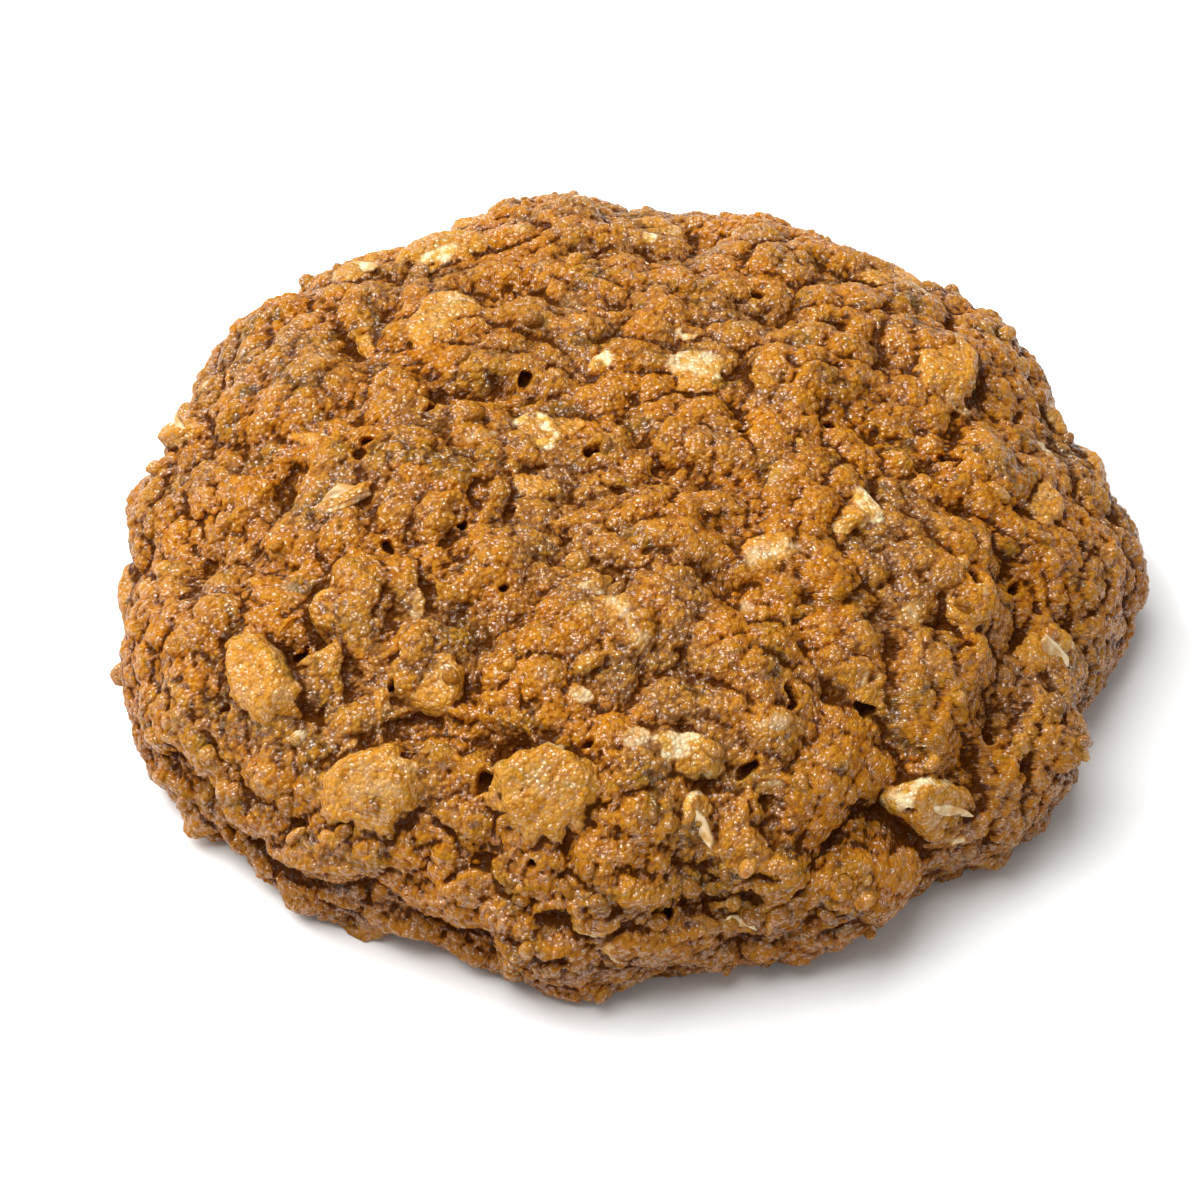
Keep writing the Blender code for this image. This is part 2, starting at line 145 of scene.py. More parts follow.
# Oat flakes that stand proud, sizes in mm, angles in degrees, in the solid's places.
# The first three and the eighth are fitted to the photograph, up to 0.5 mm prouder than
# in the solid.
FLAKES = [
    Flake(213, 0.63, 8.5, 5.6, 85, 16, 175, 1.0, 0.35),
    Flake(260, 0.61, 9.0, 7.5, 85, 15, 180, 0.9, 0.7),
    Flake(236, 0.69, 9.5, 6.5, 130, 15, 200, 0.8, 0.4),
    Flake(128, 0.39, 9.0, 6.2, 135, 16, 20, 0.6, 0.3),
    Flake(61, 0.23, 6.5, 5.0, 85, 18, 300, 0.5, 1.0),
    Flake(350, 0.35, 6.5, 5.0, 55, 22, 320, 0.5, 0.9),
    Flake(282, 0.56, 7.0, 4.4, 60, 12, 0, 0.5, 0.8),
    Flake(314, 0.78, 9.3, 5.2, 45, 12, 180, 1.1, 0.8),
    Flake(136, 0.12, 7.2, 5.4, 75, 14, 120, 0.4, 0.3),
    Flake(186, 0.41, 5.5, 3.2, 20, 24, 110, 0.2, 0.7),
    Flake(161, 0.72, 7.0, 4.2, 141, 22, 60, 0.4, 0.6),
    Flake(317, 0.56, 5.5, 4.6, 104, 14, 200, 0.3, 0.5),
    Flake(283, 0.67, 5.2, 3.4, 11, 26, 250, 0.2, 0.9),
    Flake(286, 0.83, 6.0, 4.0, 60, 16, 20, 0.4, 0.5),
    Flake(342, 0.72, 7.5, 4.2, 60, 18, 0, 0.5, 0.5),
    Flake(324, 0.28, 5.0, 3.8, 60, 16, 10, 0.4, 0.5),
    Flake(28, 0.56, 8.5, 6.0, 60, 12, 340, 0.7, 0.1),
    Flake(2, 0.60, 7.0, 5.0, 40, 12, 30, 0.4, 0.2),
    Flake(127, 0.64, 7.5, 4.4, 100, 14, 20, 0.6, 0.5),
    Flake(116, 0.60, 8.0, 5.4, 70, 12, 0, 0.7, 0.5),
    Flake(236, 0.50, 6.0, 5.4, 70, 14, 180, 0.5, 0.2),
    Flake(271, 0.31, 6.0, 4.4, 89, 12, 0, 0.4, 0.5),
    Flake(188, 0.12, 6.0, 5.0, 130, 10, 30, 0.3, 0.1),
    Flake(84, 0.60, 6.5, 5.0, 100, 14, 0, 0.5, 0.2),
    Flake(50, 0.66, 7.5, 5.0, 80, 14, 0, 0.6, 0.2),
    Flake(105, 0.78, 8.0, 5.0, 60, 25, 0, 0.5, 0.2),
    Flake(211, 0.92, 5.5, 4.0, 30, 16, 0, 0.4, 0.2),
    Flake(356, 0.84, 7.0, 5.0, 40, 20, 0, 0.4, 0.2),
    Flake(322, 0.93, 5.5, 4.2, 60, 16, 0, 0.4, 0.3),
    Flake(236, 0.95, 6.0, 4.5, 40, 15, 0, 0.2, 0.2),
    Flake(18, 0.84, 7.5, 5.2, 60, 14, 180, 0.5, 0.2),
    Flake(72, 0.84, 7.5, 5.2, 110, 14, 180, 0.5, 0.2),
    Flake(140, 0.86, 7.5, 5.2, 50, 14, 180, 0.5, 0.2),
    Flake(178, 0.88, 7.5, 5.2, 120, 14, 180, 0.5, 0.2),
]
FLAKE_THICK = 1.4 * MM
FLAKE_BED = 0.8 * MM
FLAKE_WAVE = 0.35 * MM
FLAKE_EDGE_POWER = 0.8
FLAKE_GOLDEN = 0.8
FLAKE_SHOWS_OVER = 0.20 * MM
# Where the bare rim begins and is full, then where it ends and is still full, from 0 to 1
FLAKE_RIM = (0.62, 0.74, 0.98, 0.88)
FLAKE_REACH = 0.75
FLAKE_RAGGED = 0.14
FLAKE_RAGGED_SIZES = (2.0 * MM, 0.8 * MM)
FLAKE_BEVEL = 0.40

# Thin oat flakes half buried in the crust by a seeded draw: sizes in mm, angles in degrees
HALF_BURIED_SEED = 91
HALF_BURIED_THICK = 0.75 * MM
HALF_BURIED_BEVEL = 0.45
HALF_BURIED_LOWEST_SHARE = 0.90
HALF_BURIED_LONG = (4.0, 7.5)
HALF_BURIED_WIDE = (0.6, 0.85)
HALF_BURIED_LEAN = (4.0, 18.0)
HALF_BURIED_RISE = (-0.3, 0.3)
HALF_BURIED_BARE = (-1.4, 0.7)
HALF_BURIED_GOLDEN = (-0.4, 1.0)

# Finer crumb that only the dressed cookie has: crumbs and sugary grains, and crevices
FINE_LAYERS = [
    Layer(1.5 * MM, 0.24 * MM, 61),
    Layer(0.50 * MM, 0.14 * MM, 71),
]
CRYSTAL_RISE = 0.012 * MM
CRYSTAL_SEED = 77
FINE_WARP = 0.40
RIM_CRUMBS = 0.15
EVENING = 0.8
EVENING_TIMES = 25

# Crevices: each pair is where one begins and is whole, and the warp's size and reach
CREVICE_DEEP = 0.60 * MM
CREVICE_SIZE = 2.8 * MM
CREVICE_PATCH = 5.0 * MM
CREVICE_OPENED = (-0.2, 0.5)
CREVICE_SIDES = (0.62, 0.95)
CREVICE_WARP = (2.5 * MM, 0.8 * MM)
CREVICE_SEED = 87
FINE_UNDER_OAT = 0.25
FINE_UNDER_FLAKE = 0.5
FOOT_LIFT = 0.4 * MM

# How hollow a place is, from its height in mm over its near and its wide surroundings; it sets the
# crust's painted shade in the hollows and painted light on raised places
NEAR_TIMES = 12
WIDE_TIMES = 120
HOLLOW_MIDDLE = 0.42
HOLLOW_BY_NEAR = 2.3
HOLLOW_BY_WIDE = 0.55

# Small dark holes: places, then width, the share of it by turns, and depth
HOLES = [
    (212, 0.55), (266, 0.53), (251, 0.63), (206, 0.17), (124, 0.21), (134, 0.20), (155, 0.30),
    (172, 0.37), (137, 0.44), (202, 0.35), (183, 0.58), (25, 0.21), (139, 0.04), (208, 0.24),
    (334, 0.37), (351, 0.56), (343, 0.57), (348, 0.64), (19, 0.35), (7, 0.48), (222, 0.57),
    (230, 0.52), (212, 0.70), (233, 0.63), (291, 0.59), (237, 0.32), (302, 0.50), (313, 0.59),
    (309, 0.76), (326, 0.71), (285, 0.77), (260, 0.71), (277, 0.79), (60, 0.44), (100, 0.70),
    (165, 0.55), (30, 0.72), (130, 0.78), (0, 0.75),
]
HOLE_ACROSS = 1.3 * MM
HOLE_SHARES = (0.7, 1.0, 1.3, 0.85, 1.15)
HOLE_DEEP = 1.1 * MM
HOLE_WARP = (1.3 * MM, 0.8 * MM)

# Bare oats and slivers of oat that lie in the crust, sizes in mm, angles in degrees
Oat = namedtuple("Oat", "clock share long wide turn lean")
OATS = [
    Oat(186, 0.41, 3.8, 1.5, 179, 25), Oat(162, 0.71, 4.1, 1.7, 136, 20),
    Oat(127, 0.63, 4.2, 1.3, 6, 22), Oat(282, 0.68, 3.4, 1.2, 16, 28),
    Oat(315, 0.78, 4.2, 1.0, 48, 30), Oat(342, 0.74, 4.4, 1.4, 0, 24),
    Oat(286, 0.84, 3.8, 1.2, 47, 24), Oat(60, 0.86, 3.0, 1.4, 120, 22),
]

# Places where an oat shows through the crust: strength is how clearly, from 0 to 1
Pale = namedtuple("Pale", "clock share long wide turn strength")
PALE_PLACES = [
    Pale(146, 0.13, 4.6, 3.0, 155, 1.0), Pale(68, 0.30, 2.4, 1.5, 138, 1.0),
    Pale(351, 0.38, 3.6, 1.8, 120, 0.9), Pale(280, 0.55, 4.2, 2.0, 91, 0.7),
    Pale(119, 0.57, 4.8, 1.9, 101, 0.9), Pale(61, 0.24, 5.0, 3.0, 110, 0.6),
    Pale(354, 0.24, 3.0, 1.6, 75, 0.4), Pale(322, 0.29, 4.6, 2.2, 57, 0.5),
    Pale(94, 0.20, 2.4, 1.6, 142, 0.8), Pale(84, 0.55, 1.6, 1.1, 176, 0.9),
    Pale(124, 0.42, 1.8, 1.2, 169, 0.6), Pale(274, 0.53, 2.2, 1.6, 120, 0.5),
    Pale(293, 0.62, 2.2, 1.0, 73, 0.6), Pale(297, 0.53, 3.0, 1.6, 91, 0.4),
    Pale(264, 0.45, 1.8, 1.4, 86, 0.6), Pale(268, 0.31, 3.8, 2.4, 105, 0.5),
    Pale(264, 0.26, 2.6, 1.4, 95, 0.6), Pale(276, 0.36, 3.0, 1.3, 10, 0.5),
    Pale(203, 0.51, 3.2, 2.4, 95, 0.3), Pale(315, 0.83, 1.8, 0.9, 49, 0.8),
    Pale(315, 0.56, 3.0, 1.5, 108, 0.6), Pale(331, 0.49, 2.8, 1.8, 81, 0.5),
    Pale(341, 0.58, 1.6, 1.2, 55, 0.6), Pale(21, 0.55, 3.0, 1.6, 137, 0.4),
    Pale(104, 0.56, 1.8, 1.0, 175, 0.5), Pale(215, 0.62, 5.0, 3.0, 85, 0.3),
    Pale(237, 0.67, 5.0, 3.4, 130, 0.3), Pale(260, 0.60, 4.6, 2.0, 85, 0.3),
    Pale(222, 0.40, 2.6, 1.4, 60, 0.4), Pale(305, 0.34, 2.4, 1.4, 20, 0.4),
    Pale(150, 0.50, 3.0, 1.8, 70, 0.3), Pale(40, 0.36, 4.0, 2.4, 60, 0.3),
    Pale(128, 0.40, 5.0, 2.6, 135, 0.3), Pale(165, 0.20, 2.6, 1.4, 30, 0.4),
    Pale(100, 0.33, 2.8, 1.6, 10, 0.3), Pale(20, 0.15, 2.8, 1.6, 80, 0.3),
    Pale(200, 0.80, 3.2, 1.6, 20, 0.4), Pale(120, 0.86, 3.2, 1.6, 20, 0.7),
    Pale(45, 0.66, 3.2, 1.6, 100, 0.5), Pale(15, 0.69, 2.7, 1.4, 68, 0.6),
    Pale(150, 0.74, 3.0, 1.4, 70, 0.6), Pale(95, 0.75, 3.4, 1.6, 60, 0.8),
]
OAT_THICK = 0.5 * MM
OAT_CURL = 0.25 * MM
OAT_GROOVE = 0.08 * MM
OAT_BREAK = 0.6
OAT_GROOVE_SHARE = 0.12
OAT_PROUD = -0.08 * MM
OAT_RESTS_ON = 40
OAT_RINGS = 8
OAT_SIDES = 28
OAT_SEED = 97
AWAY_FROM_FRONT = np.array([0.0, 1.0, 0.3])
RIB_LONG = 1.6 * MM
RIB_WIDE = 0.16 * MM
PALE_LIFT = 0.15 * MM
PALE_EVENED = 0.7
PALE_EDGES = (1.25, 0.80)

# Small crumbs stuck on the crust, most of them on the side
LOOSE_SEED = 113
LOOSE_SIZES = (0.35 * MM, 0.90 * MM)
LOOSE_CELLS = 4
LOOSE_SINK = 0.15
LOOSE_UNEVEN = 0.35
LOOSE_PATCH = 0.9 * MM
LOOSE_ON_SIDE = 4.0
LOOSE_SIDE_FROM = 0.7
LOOSE_LOWEST = 0.8 * MM
# How hollow each stuck crumb counts as, which gives it a little of the crust's painted light
LOOSE_HOLLOW = 0.3
LOOSE_GOLDEN = (-0.8, 1.0)
# The draw past which a crumb is oat, and how clearly it then is
LOOSE_BARE = (0.96, 0.6)

UNDERSIDE_RINGS = 14

# Sockets of a colour mix by number, since their names are also those of its other sockets
MIX_SHARE, MIX_UNDER, MIX_OVER, MIX_RESULT = 0, 6, 7, 2
PATTERN_ROUGHNESS = 0.55
SUGAR_GRAIN = 0.36 * MM
# A layer of paint covers nothing where its value is at low, and most of what is under it at high
Paint = namedtuple("Paint", "value low high most colour")

# Studio: sizes in metres and powers in watts
Softbox = namedtuple("Softbox", "name location size power")
SOFTBOXES = [
    Softbox("overhead", (-0.27, 0.06, 0.82), 0.80, 10.4),
    Softbox("key", (-0.60, 0.30, 0.52), 0.40, 3.7),
    Softbox("sparkle", (-0.40, 0.34, 0.66), 0.10, 1.3),
]
STUDIO_WHITE = (1.0, 1.0, 1.0, 1.0)
SENSOR_WIDTH = 36.0
NEAREST_SEEN = 0.01


def linear(hex_colour):
    """The linear colour, with alpha, of an sRGB hex colour such as '#9A6432'."""
    parts = np.array([int(hex_colour[start:start + 2], 16) for start in (1, 3, 5)]) / 255.0
    low = parts / 12.92
    high = ((parts + 0.055) / 1.055) ** 2.4
    return (*np.where(parts <= 0.04045, low, high).tolist(), 1.0)


def outline(clock):
    """Radius of the plain form in each direction: the sum of waves that runs through the radii."""
    count = len(RADII)
    waves = np.fft.rfft(np.array(RADII) * MM) / count
    radius = np.full_like(clock, waves[0].real)
    for order in range(1, count // 2):
        real, imaginary = waves[order].real, waves[order].imag
        radius = radius + 2.0 * (real * np.cos(order * clock) - imaginary * np.sin(order * clock))
    return radius + waves[-1].real * np.cos(count // 2 * clock)


def profile():
    """Share, radius as a share of the outline, and level, from the top to the foot.

    Down to the widest level it is a quarter of a superellipse, and below that a
    quarter ellipse drawn in to the foot.  The share is the part of the way down.
    """
    angle = np.linspace(0.0, np.pi / 2.0, PROFILE_STEPS)
    below = angle[1:]
    upper_rise = DOME_TOP - WIDEST_LEVEL
    radius = np.concatenate([
        np.sin(angle) ** (2.0 / TOP_ROUNDNESS),
        FOOT_SHARE_OF_RADIUS + (1.0 - FOOT_SHARE_OF_RADIUS) * np.cos(below),
    ])
    level = np.concatenate([
        WIDEST_LEVEL + upper_rise * np.cos(angle) ** (2.0 / SIDE_ROUNDNESS),
        WIDEST_LEVEL * (1.0 - np.sin(below)),
    ])
    steps = np.hypot(np.diff(radius * np.mean(RADII) * MM), np.diff(level))
    length = np.concatenate([[0.0], np.cumsum(steps)])
    return length / length[-1], radius, level


PROFILE = profile()


def form(share, clock):
    """Points of the plain form, and the way its relief rises, for each share and clock."""
    known, radius, level = PROFILE
    reach = outline(clock) * np.interp(share, known, radius)
    flat = np.stack([np.cos(clock), np.sin(clock)], axis=-1)
    up = np.interp(share, known, level)
    points = np.concatenate([flat * reach[..., None], up[..., None]], axis=-1)

    low = np.clip(share - ANGLE_STEP, 0.0, 1.0)
    high = np.clip(share + ANGLE_STEP, 0.0, 1.0)
    run = (np.interp(high, known, radius) - np.interp(low, known, radius)) * outline(clock)
    drop = np.interp(low, known, level) - np.interp(high, known, level)
    size = np.hypot(run, drop)
    upward = np.where(share < WIDEST_SHARE, run / size, 0.0)
    outward = np.where(share < WIDEST_SHARE, drop / size, 1.0)
    way = np.concatenate([flat * outward[..., None], upward[..., None]], axis=-1)
    return points, way


def place(clock_degrees, share):
    """Point and rising way of the plain form at one place."""
    points, way = form(np.array([share]), np.radians([float(clock_degrees)]))
    return points[0], way[0]


def cell_number(cell, seed):
    """A number from 0 to 1 for each whole-number cell, the same on every run."""
    cell = cell.astype(np.int64)
    mixed = (cell[..., 0] * 73856093) ^ (cell[..., 1] * 19349663) ^ (cell[..., 2] * 83492791)
    mixed = (mixed ^ (seed * 40503)) & 0x7FFFFFFF
    mixed = ((mixed ^ (mixed >> 13)) * 1274126177) & 0x7FFFFFFF
    mixed = ((mixed ^ (mixed >> 16)) * 668265263) & 0x7FFFFFFF
    return (mixed ^ (mixed >> 15)) / 0x7FFFFFFF


def swell(points, size, seed):
    """Smooth noise from -1 to 1 that changes over the given size."""
    scaled = points / size
    base = np.floor(scaled)
    part = scaled - base
    part = part * part * (3.0 - 2.0 * part)
    total = np.zeros(len(points))
    for corner in np.ndindex(2, 2, 2):
        corner = np.array(corner)
        weight = np.prod(np.where(corner == 1, part, 1.0 - part), axis=1)
        total += weight * cell_number(base + corner, seed)
    return 2.0 * total - 1.0


def nearest_cell(points, size, seed):
    """Distance, in cells, to the nearest of the scattered cell middles, and that cell's number."""
    scaled = points / size
    base = np.floor(scaled).astype(np.int64)
    low = base.min(axis=0) - 1
    cells = np.moveaxis(np.indices(base.max(axis=0) - low + 2), 0, -1) + low
    shifts = np.stack([cell_number(cells, seed + axis) for axis in range(3)], axis=-1) - 0.5
    middles = cells + 0.5 + CLUMP_JITTER * shifts
    numbers = cell_number(cells, seed + 3)
    nearest = np.full(len(points), np.inf)
    number = np.zeros(len(points))
    for step in np.ndindex(3, 3, 3):
        cell = tuple((base - low + np.array(step) - 1).T)
        away = np.linalg.norm(scaled - middles[cell], axis=1)
        closer = away < nearest
        number = np.where(closer, numbers[cell], number)
        nearest = np.where(closer, away, nearest)
    return nearest, number


def clumps(points, size, seed):
    """Rounded clumps side by side, 1 less the squared distance from each middle, and their numbers."""
    nearest, number = nearest_cell(points, size, seed)
    return np.clip(1.0 - (nearest / CLUMP_REACH) ** 2, 0.0, 1.0), number


def warped(points, size, reach, seed):
    """The points moved each way by smooth noise, so that nothing comes out even."""
    moves = [swell(points, size, seed + axis) for axis in range(3)]
    return points + reach * np.stack(moves, axis=1)


def distance_to_path(points, places):
    """Distance from each point to the path through the given places of the plain form."""
    path = [place(clock, share)[0] for clock, share in places]
    nearest = np.full(len(points), np.inf)
    for start, end in zip(path[:-1], path[1:]):
        along = end - start
        part = np.clip((points - start) @ along / (along @ along), 0.0, 1.0)
        nearest = np.minimum(nearest, np.linalg.norm(points - start - part[:, None] * along, axis=1))
    return nearest


def coarse_relief(points):
    """The relief that the solid has too: swells, clumps, lumps and cracks."""
    points = warped(points, WARP_SIZE, WARP_REACH, WARP_SEED)
    height = SWELL_RISE * swell(points, SWELL_SIZE, SWELL_SEED)
    height = height + CLUMP_RISE * (clumps(points, CLUMP_SIZE, CLUMP_SEED)[0] - 0.5)
    height = height + CRAG_RISE * (clumps(points, CRAG_SIZE, CRAG_SEED)[0] - 0.5)
    raised = np.zeros(len(points))
    for lump in LUMPS:
        middle, _ = place(lump.clock, lump.share)
        away = np.linalg.norm(points - middle, axis=1) / (lump.across * MM / 2.0)
        raised = np.maximum(raised, lump.rise * MM * np.clip(1.0 - away ** 2, 0.0, 1.0))
    sunk = np.zeros(len(points))
    for groove in GROOVES:
        away = distance_to_path(points, groove.places) / (groove.wide * MM / 2.0)
        sunk = np.maximum(sunk, groove.deep * MM * np.clip(1.0 - away ** 2, 0.0, 1.0))
    return height + raised - sunk


def fine_relief(points):
    """The finer crumb: crumbs and grains on one another, and crevices between the clumps.

    A crevice runs where the nearest cell's middle is far, in patches of smooth
    noise.  Each crumb or grain is a clump whose own number sets its height.
    """
    moved = warped(points, *CREVICE_WARP, CREVICE_SEED + 3)
    nearest, _ = nearest_cell(moved, CREVICE_SIZE, CREVICE_SEED)
    opened = smooth_step(*CREVICE_OPENED, swell(points, CREVICE_PATCH, CREVICE_SEED))
    height = -CREVICE_DEEP * opened * smooth_step(*CREVICE_SIDES, nearest)
    for layer in FINE_LAYERS:
        moved = warped(points, layer.size, FINE_WARP * layer.size, layer.seed + 5)
        bump, number = clumps(moved, layer.size, layer.seed)
        height += layer.rise * (bump * (0.55 + 0.9 * number) - 0.5)
    return height


def holes(points):
    """Depth of the small steep holes that stay open between clumps."""
    moved = warped(points, *HOLE_WARP, CREVICE_SEED + 5)
    depth = np.zeros(len(points))
    for number, (clock, share) in enumerate(HOLES):
        middle, _ = place(clock, share)
        across = HOLE_ACROSS * HOLE_SHARES[number % len(HOLE_SHARES)]
        away = np.linalg.norm(moved - middle, axis=1) / (across / 2.0)
        depth = np.maximum(depth, HOLE_DEEP * smooth_step(1.0, 0.45, away))
    return depth


def disc_from_square(square, crowding):
    """Share and clock of each point of a square from -1 to 1, its middle at the top.

    Each square ring becomes a round one, and crowding draws the rings inwards.
    """
    across, along = square[:, 0], square[:, 1]
    wide = np.abs(across) >= np.abs(along)
    radius = np.where(wide, across, along)
    safe = np.where(radius == 0.0, 1.0, radius)
    turn = np.where(wide, np.pi / 4.0 * along / safe, np.pi / 2.0 - np.pi / 4.0 * across / safe)
    clock = turn + np.where(radius < 0.0, np.pi, 0.0)
    radius = np.abs(radius)
    return radius * (1.0 - crowding * (1.0 - radius)), clock


def blurred(values, times):
    """The values of a grid after repeated averaging with their neighbours."""
    for _ in range(times):
        padded = np.pad(values, 1, mode="edge")
        values = (padded[:-2, 1:-1] + padded[2:, 1:-1] + padded[1:-1, :-2] + padded[1:-1, 2:]
                  + 4.0 * values) / 8.0
    return values


def facings(grid):
    """The way that each point of a grid of points faces."""
    facing = np.cross(np.gradient(grid, axis=0), np.gradient(grid, axis=1))
    return facing / (np.linalg.norm(facing, axis=2, keepdims=True) + 1e-20)


def evened(grid, times):
    """The grid's points slid along their own surface, so that steep places get their share of them."""
    for _ in range(times):
        inner = grid[1:-1, 1:-1]
        pull = (grid[:-2, 1:-1] + grid[2:, 1:-1] + grid[1:-1, :-2] + grid[1:-1, 2:]) / 4.0 - inner
        facing = facings(grid)[1:-1, 1:-1]
        pull = pull - facing * np.sum(pull * facing, axis=2, keepdims=True)
        grid = grid.copy()
        grid[1:-1, 1:-1] += EVENING * pull
    return grid


def smooth_step(low, high, values):
    """0 below low, 1 above high, and an eased ramp between them."""
    part = np.clip((values - low) / (high - low), 0.0, 1.0)
    return part * part * (3.0 - 2.0 * part)


def ellipse_at(points, shape, number):
    """The points near a flake: their numbers, their run outwards, sideways and up, and its ellipse.

    The ellipse's value is 0 in its middle and 1 at its ragged edge, and with it
    comes the direction around it.
    """
    point, rises = place(shape.clock, shape.share)
    reach = FLAKE_REACH * shape.long * MM
    close = np.nonzero(np.linalg.norm(points - point, axis=1) < reach)[0]
    near = points[close]
    clock = np.radians(shape.clock)
    sideways = np.array([-np.sin(clock), np.cos(clock), 0.0])
    outward = np.cross(sideways, rises)
    from_middle = near - point
    out, side, up = from_middle @ outward, from_middle @ sideways, from_middle @ rises
    turn = np.radians(shape.turn)
    long_way = (out * np.cos(turn) + side * np.sin(turn)) / (shape.long * MM / 2.0)
    wide_way = (side * np.cos(turn) - out * np.sin(turn)) / (shape.wide * MM / 2.0)
    edge = np.hypot(long_way, wide_way)
    large, small = [swell(near, size, number) for size in FLAKE_RAGGED_SIZES]
    edge = edge + FLAKE_RAGGED * (large + 0.5 * small)
    return close, out, side, up, edge, np.arctan2(wide_way, long_way)


def lay_flake(points, height, marks, shape, number, golden, thick, bevel):
    """Raise the crumb to a flake laid on it, and mark the flake and the bare rim of its raised side.

    Within the flake's ellipse the crumb rises to a tilted, wavy plate, the same
    plate as in the solid.  Where the plate lies deeper than the crumb, the crumb
    stays, so that the flake's low side is buried.
    """
    relief_under = coarse_relief(place(shape.clock, shape.share)[0][None])[0]
    close, out, side, up, edge, around = ellipse_at(points, shape, number)
    uphill = np.radians(shape.lean_way)
    climb = out * np.cos(uphill) + side * np.sin(uphill)
    crown = np.clip(1.0 - edge ** 2, 0.0, 1.0) ** (FLAKE_EDGE_POWER / 2.0) * thick / 2.0
    plate = relief_under + shape.rise * MM - FLAKE_BED + np.tan(np.radians(shape.lean)) * climb
    plate = plate + FLAKE_WAVE * np.minimum(edge, 1.0) ** 2 * np.sin(2.0 * around + number)
    over = np.maximum(plate + crown - up - height[close], 0.0) * smooth_step(1.0, 1.0 - bevel, edge)
    shown = smooth_step(0.0, FLAKE_SHOWS_OVER, over)
    raised_side = smooth_step(0.1, 0.7, climb / (shape.wide * MM / 2.0))
    rim = smooth_step(*FLAKE_RIM[:2], edge) * smooth_step(*FLAKE_RIM[2:], edge) * raised_side
    broken = smooth_step(-0.45, 0.15, swell(points[close], 1.4 * MM, number + 500))
    height[close] += over
    for mark, value in (("oat", shape.bare * rim * broken), ("flake", golden)):
        marks[mark][close] = marks[mark][close] * (1.0 - shown) + value * shown


def bare_patch(points, height, marks, pale, number):
    """Smooth and lift the crumb where oat shows, and mark it, with a broken edge."""
    close, _, _, _, edge, _ = ellipse_at(points, pale, 300 + number)
    shown = smooth_step(*PALE_EDGES, edge)
    level = height[close].mean()
    height[close] += pale.strength * shown * (PALE_EVENED * (level - height[close]) + PALE_LIFT)
    broken = smooth_step(-0.5, 0.1, swell(points[close], 1.0 * MM, number + 700))
    marks["oat"][close] = np.maximum(marks["oat"][close], pale.strength * shown * broken)


def half_buried_flakes(count):
    """Seeded places, sizes and leans of the oat flakes that lie all over the crumb."""
    draw = np.random.default_rng(HALF_BURIED_SEED)
    for _ in range(count):
        share = np.sqrt(draw.uniform(0.0, HALF_BURIED_LOWEST_SHARE ** 2))
        long = draw.uniform(*HALF_BURIED_LONG)
        shape = Flake(
            draw.uniform(0.0, 360.0), share, long, long * draw.uniform(*HALF_BURIED_WIDE),
            draw.uniform(0.0, 180.0), draw.uniform(*HALF_BURIED_LEAN), draw.uniform(0.0, 360.0),
            draw.uniform(*HALF_BURIED_RISE), max(draw.uniform(*HALF_BURIED_BARE), 0.0))
        yield shape, max(draw.uniform(*HALF_BURIED_GOLDEN), 0.0)


@lru_cache(maxsize=1)
def crumb_surface(cells, crowding, half_buried):
    """Points, places and marks of the whole crumb, each on one square grid.

    Each point is the plain form's point, moved along the form's rising way by the
    coarse relief and the flakes laid on it, then slid even, and then moved along
    its own facing by the fine relief, the holes and the sugar.
    """
    count = cells + 1
    line = np.linspace(-1.0, 1.0, count)
    across, along = np.meshgrid(line, line, indexing="ij")
    square = np.stack([across.ravel(), along.ravel()], axis=1)
    share, clock = disc_from_square(square, crowding)
    points, way = form(share, clock)

    height = coarse_relief(points)
    marks = {"oat": np.zeros(len(points)), "flake": np.zeros(len(points))}
    for number, (shape, golden) in enumerate(half_buried_flakes(half_buried)):
        lay_flake(points, height, marks, shape, number, golden, HALF_BURIED_THICK, HALF_BURIED_BEVEL)
    for number, shape in enumerate(FLAKES):
        lay_flake(points, height, marks, shape, number, FLAKE_GOLDEN, FLAKE_THICK, FLAKE_BEVEL)
    for number, pale in enumerate(PALE_PLACES):
        bare_patch(points, height, marks, pale, number)

    bare = 1.0 - marks["oat"]
    grid = evened((points + way * height[:, None]).reshape(count, count, 3), EVENING_TIMES)
    raised, facing = grid.reshape(-1, 3), facings(grid).reshape(-1, 3)
    fine = fine_relief(raised) * (FINE_UNDER_OAT + (1.0 - FINE_UNDER_OAT) * bare)
    fine = fine * (1.0 - FINE_UNDER_FLAKE * marks["flake"])
    fine = fine * (1.0 + RIM_CRUMBS * smooth_step(0.55, 0.75, share))
    fine = fine - holes(points) * bare
    sugar = np.random.default_rng(CRYSTAL_SEED).uniform(-1.0, 1.0, len(fine))
    fine = fine + CRYSTAL_RISE * sugar * bare
    placed = raised + facing * fine[:, None]
    above = LOWEST + FOOT_LIFT * smooth_step(1.0, 0.96, share)
    placed[:, 2] = np.where(share > 1.0 - 1e-9, LOWEST, np.maximum(placed[:, 2], above))

    spread = (height + fine).reshape(count, count)
    near = (spread - blurred(spread, NEAR_TIMES)).ravel()
    wide = (spread - blurred(spread, WIDE_TIMES)).ravel()
    hollow_shade = HOLLOW_MIDDLE - HOLLOW_BY_NEAR * near / MM - HOLLOW_BY_WIDE * wide / MM
    hollow_shade = smooth_step(0.0, 1.0, hollow_shade)
    toasted = smooth_step(0.70, 0.95, share)
    return placed - OFF_CENTRE, share, clock, {"hollow_shade": hollow_shade, "foot": toasted, **marks}


def quads_of_grid(rows, columns):
    """Corner numbers of every cell of a grid of points."""
    first = (np.arange(rows - 1)[:, None] * columns + np.arange(columns - 1)).ravel()
    return np.stack([first, first + columns, first + columns + 1, first + 1], axis=1)


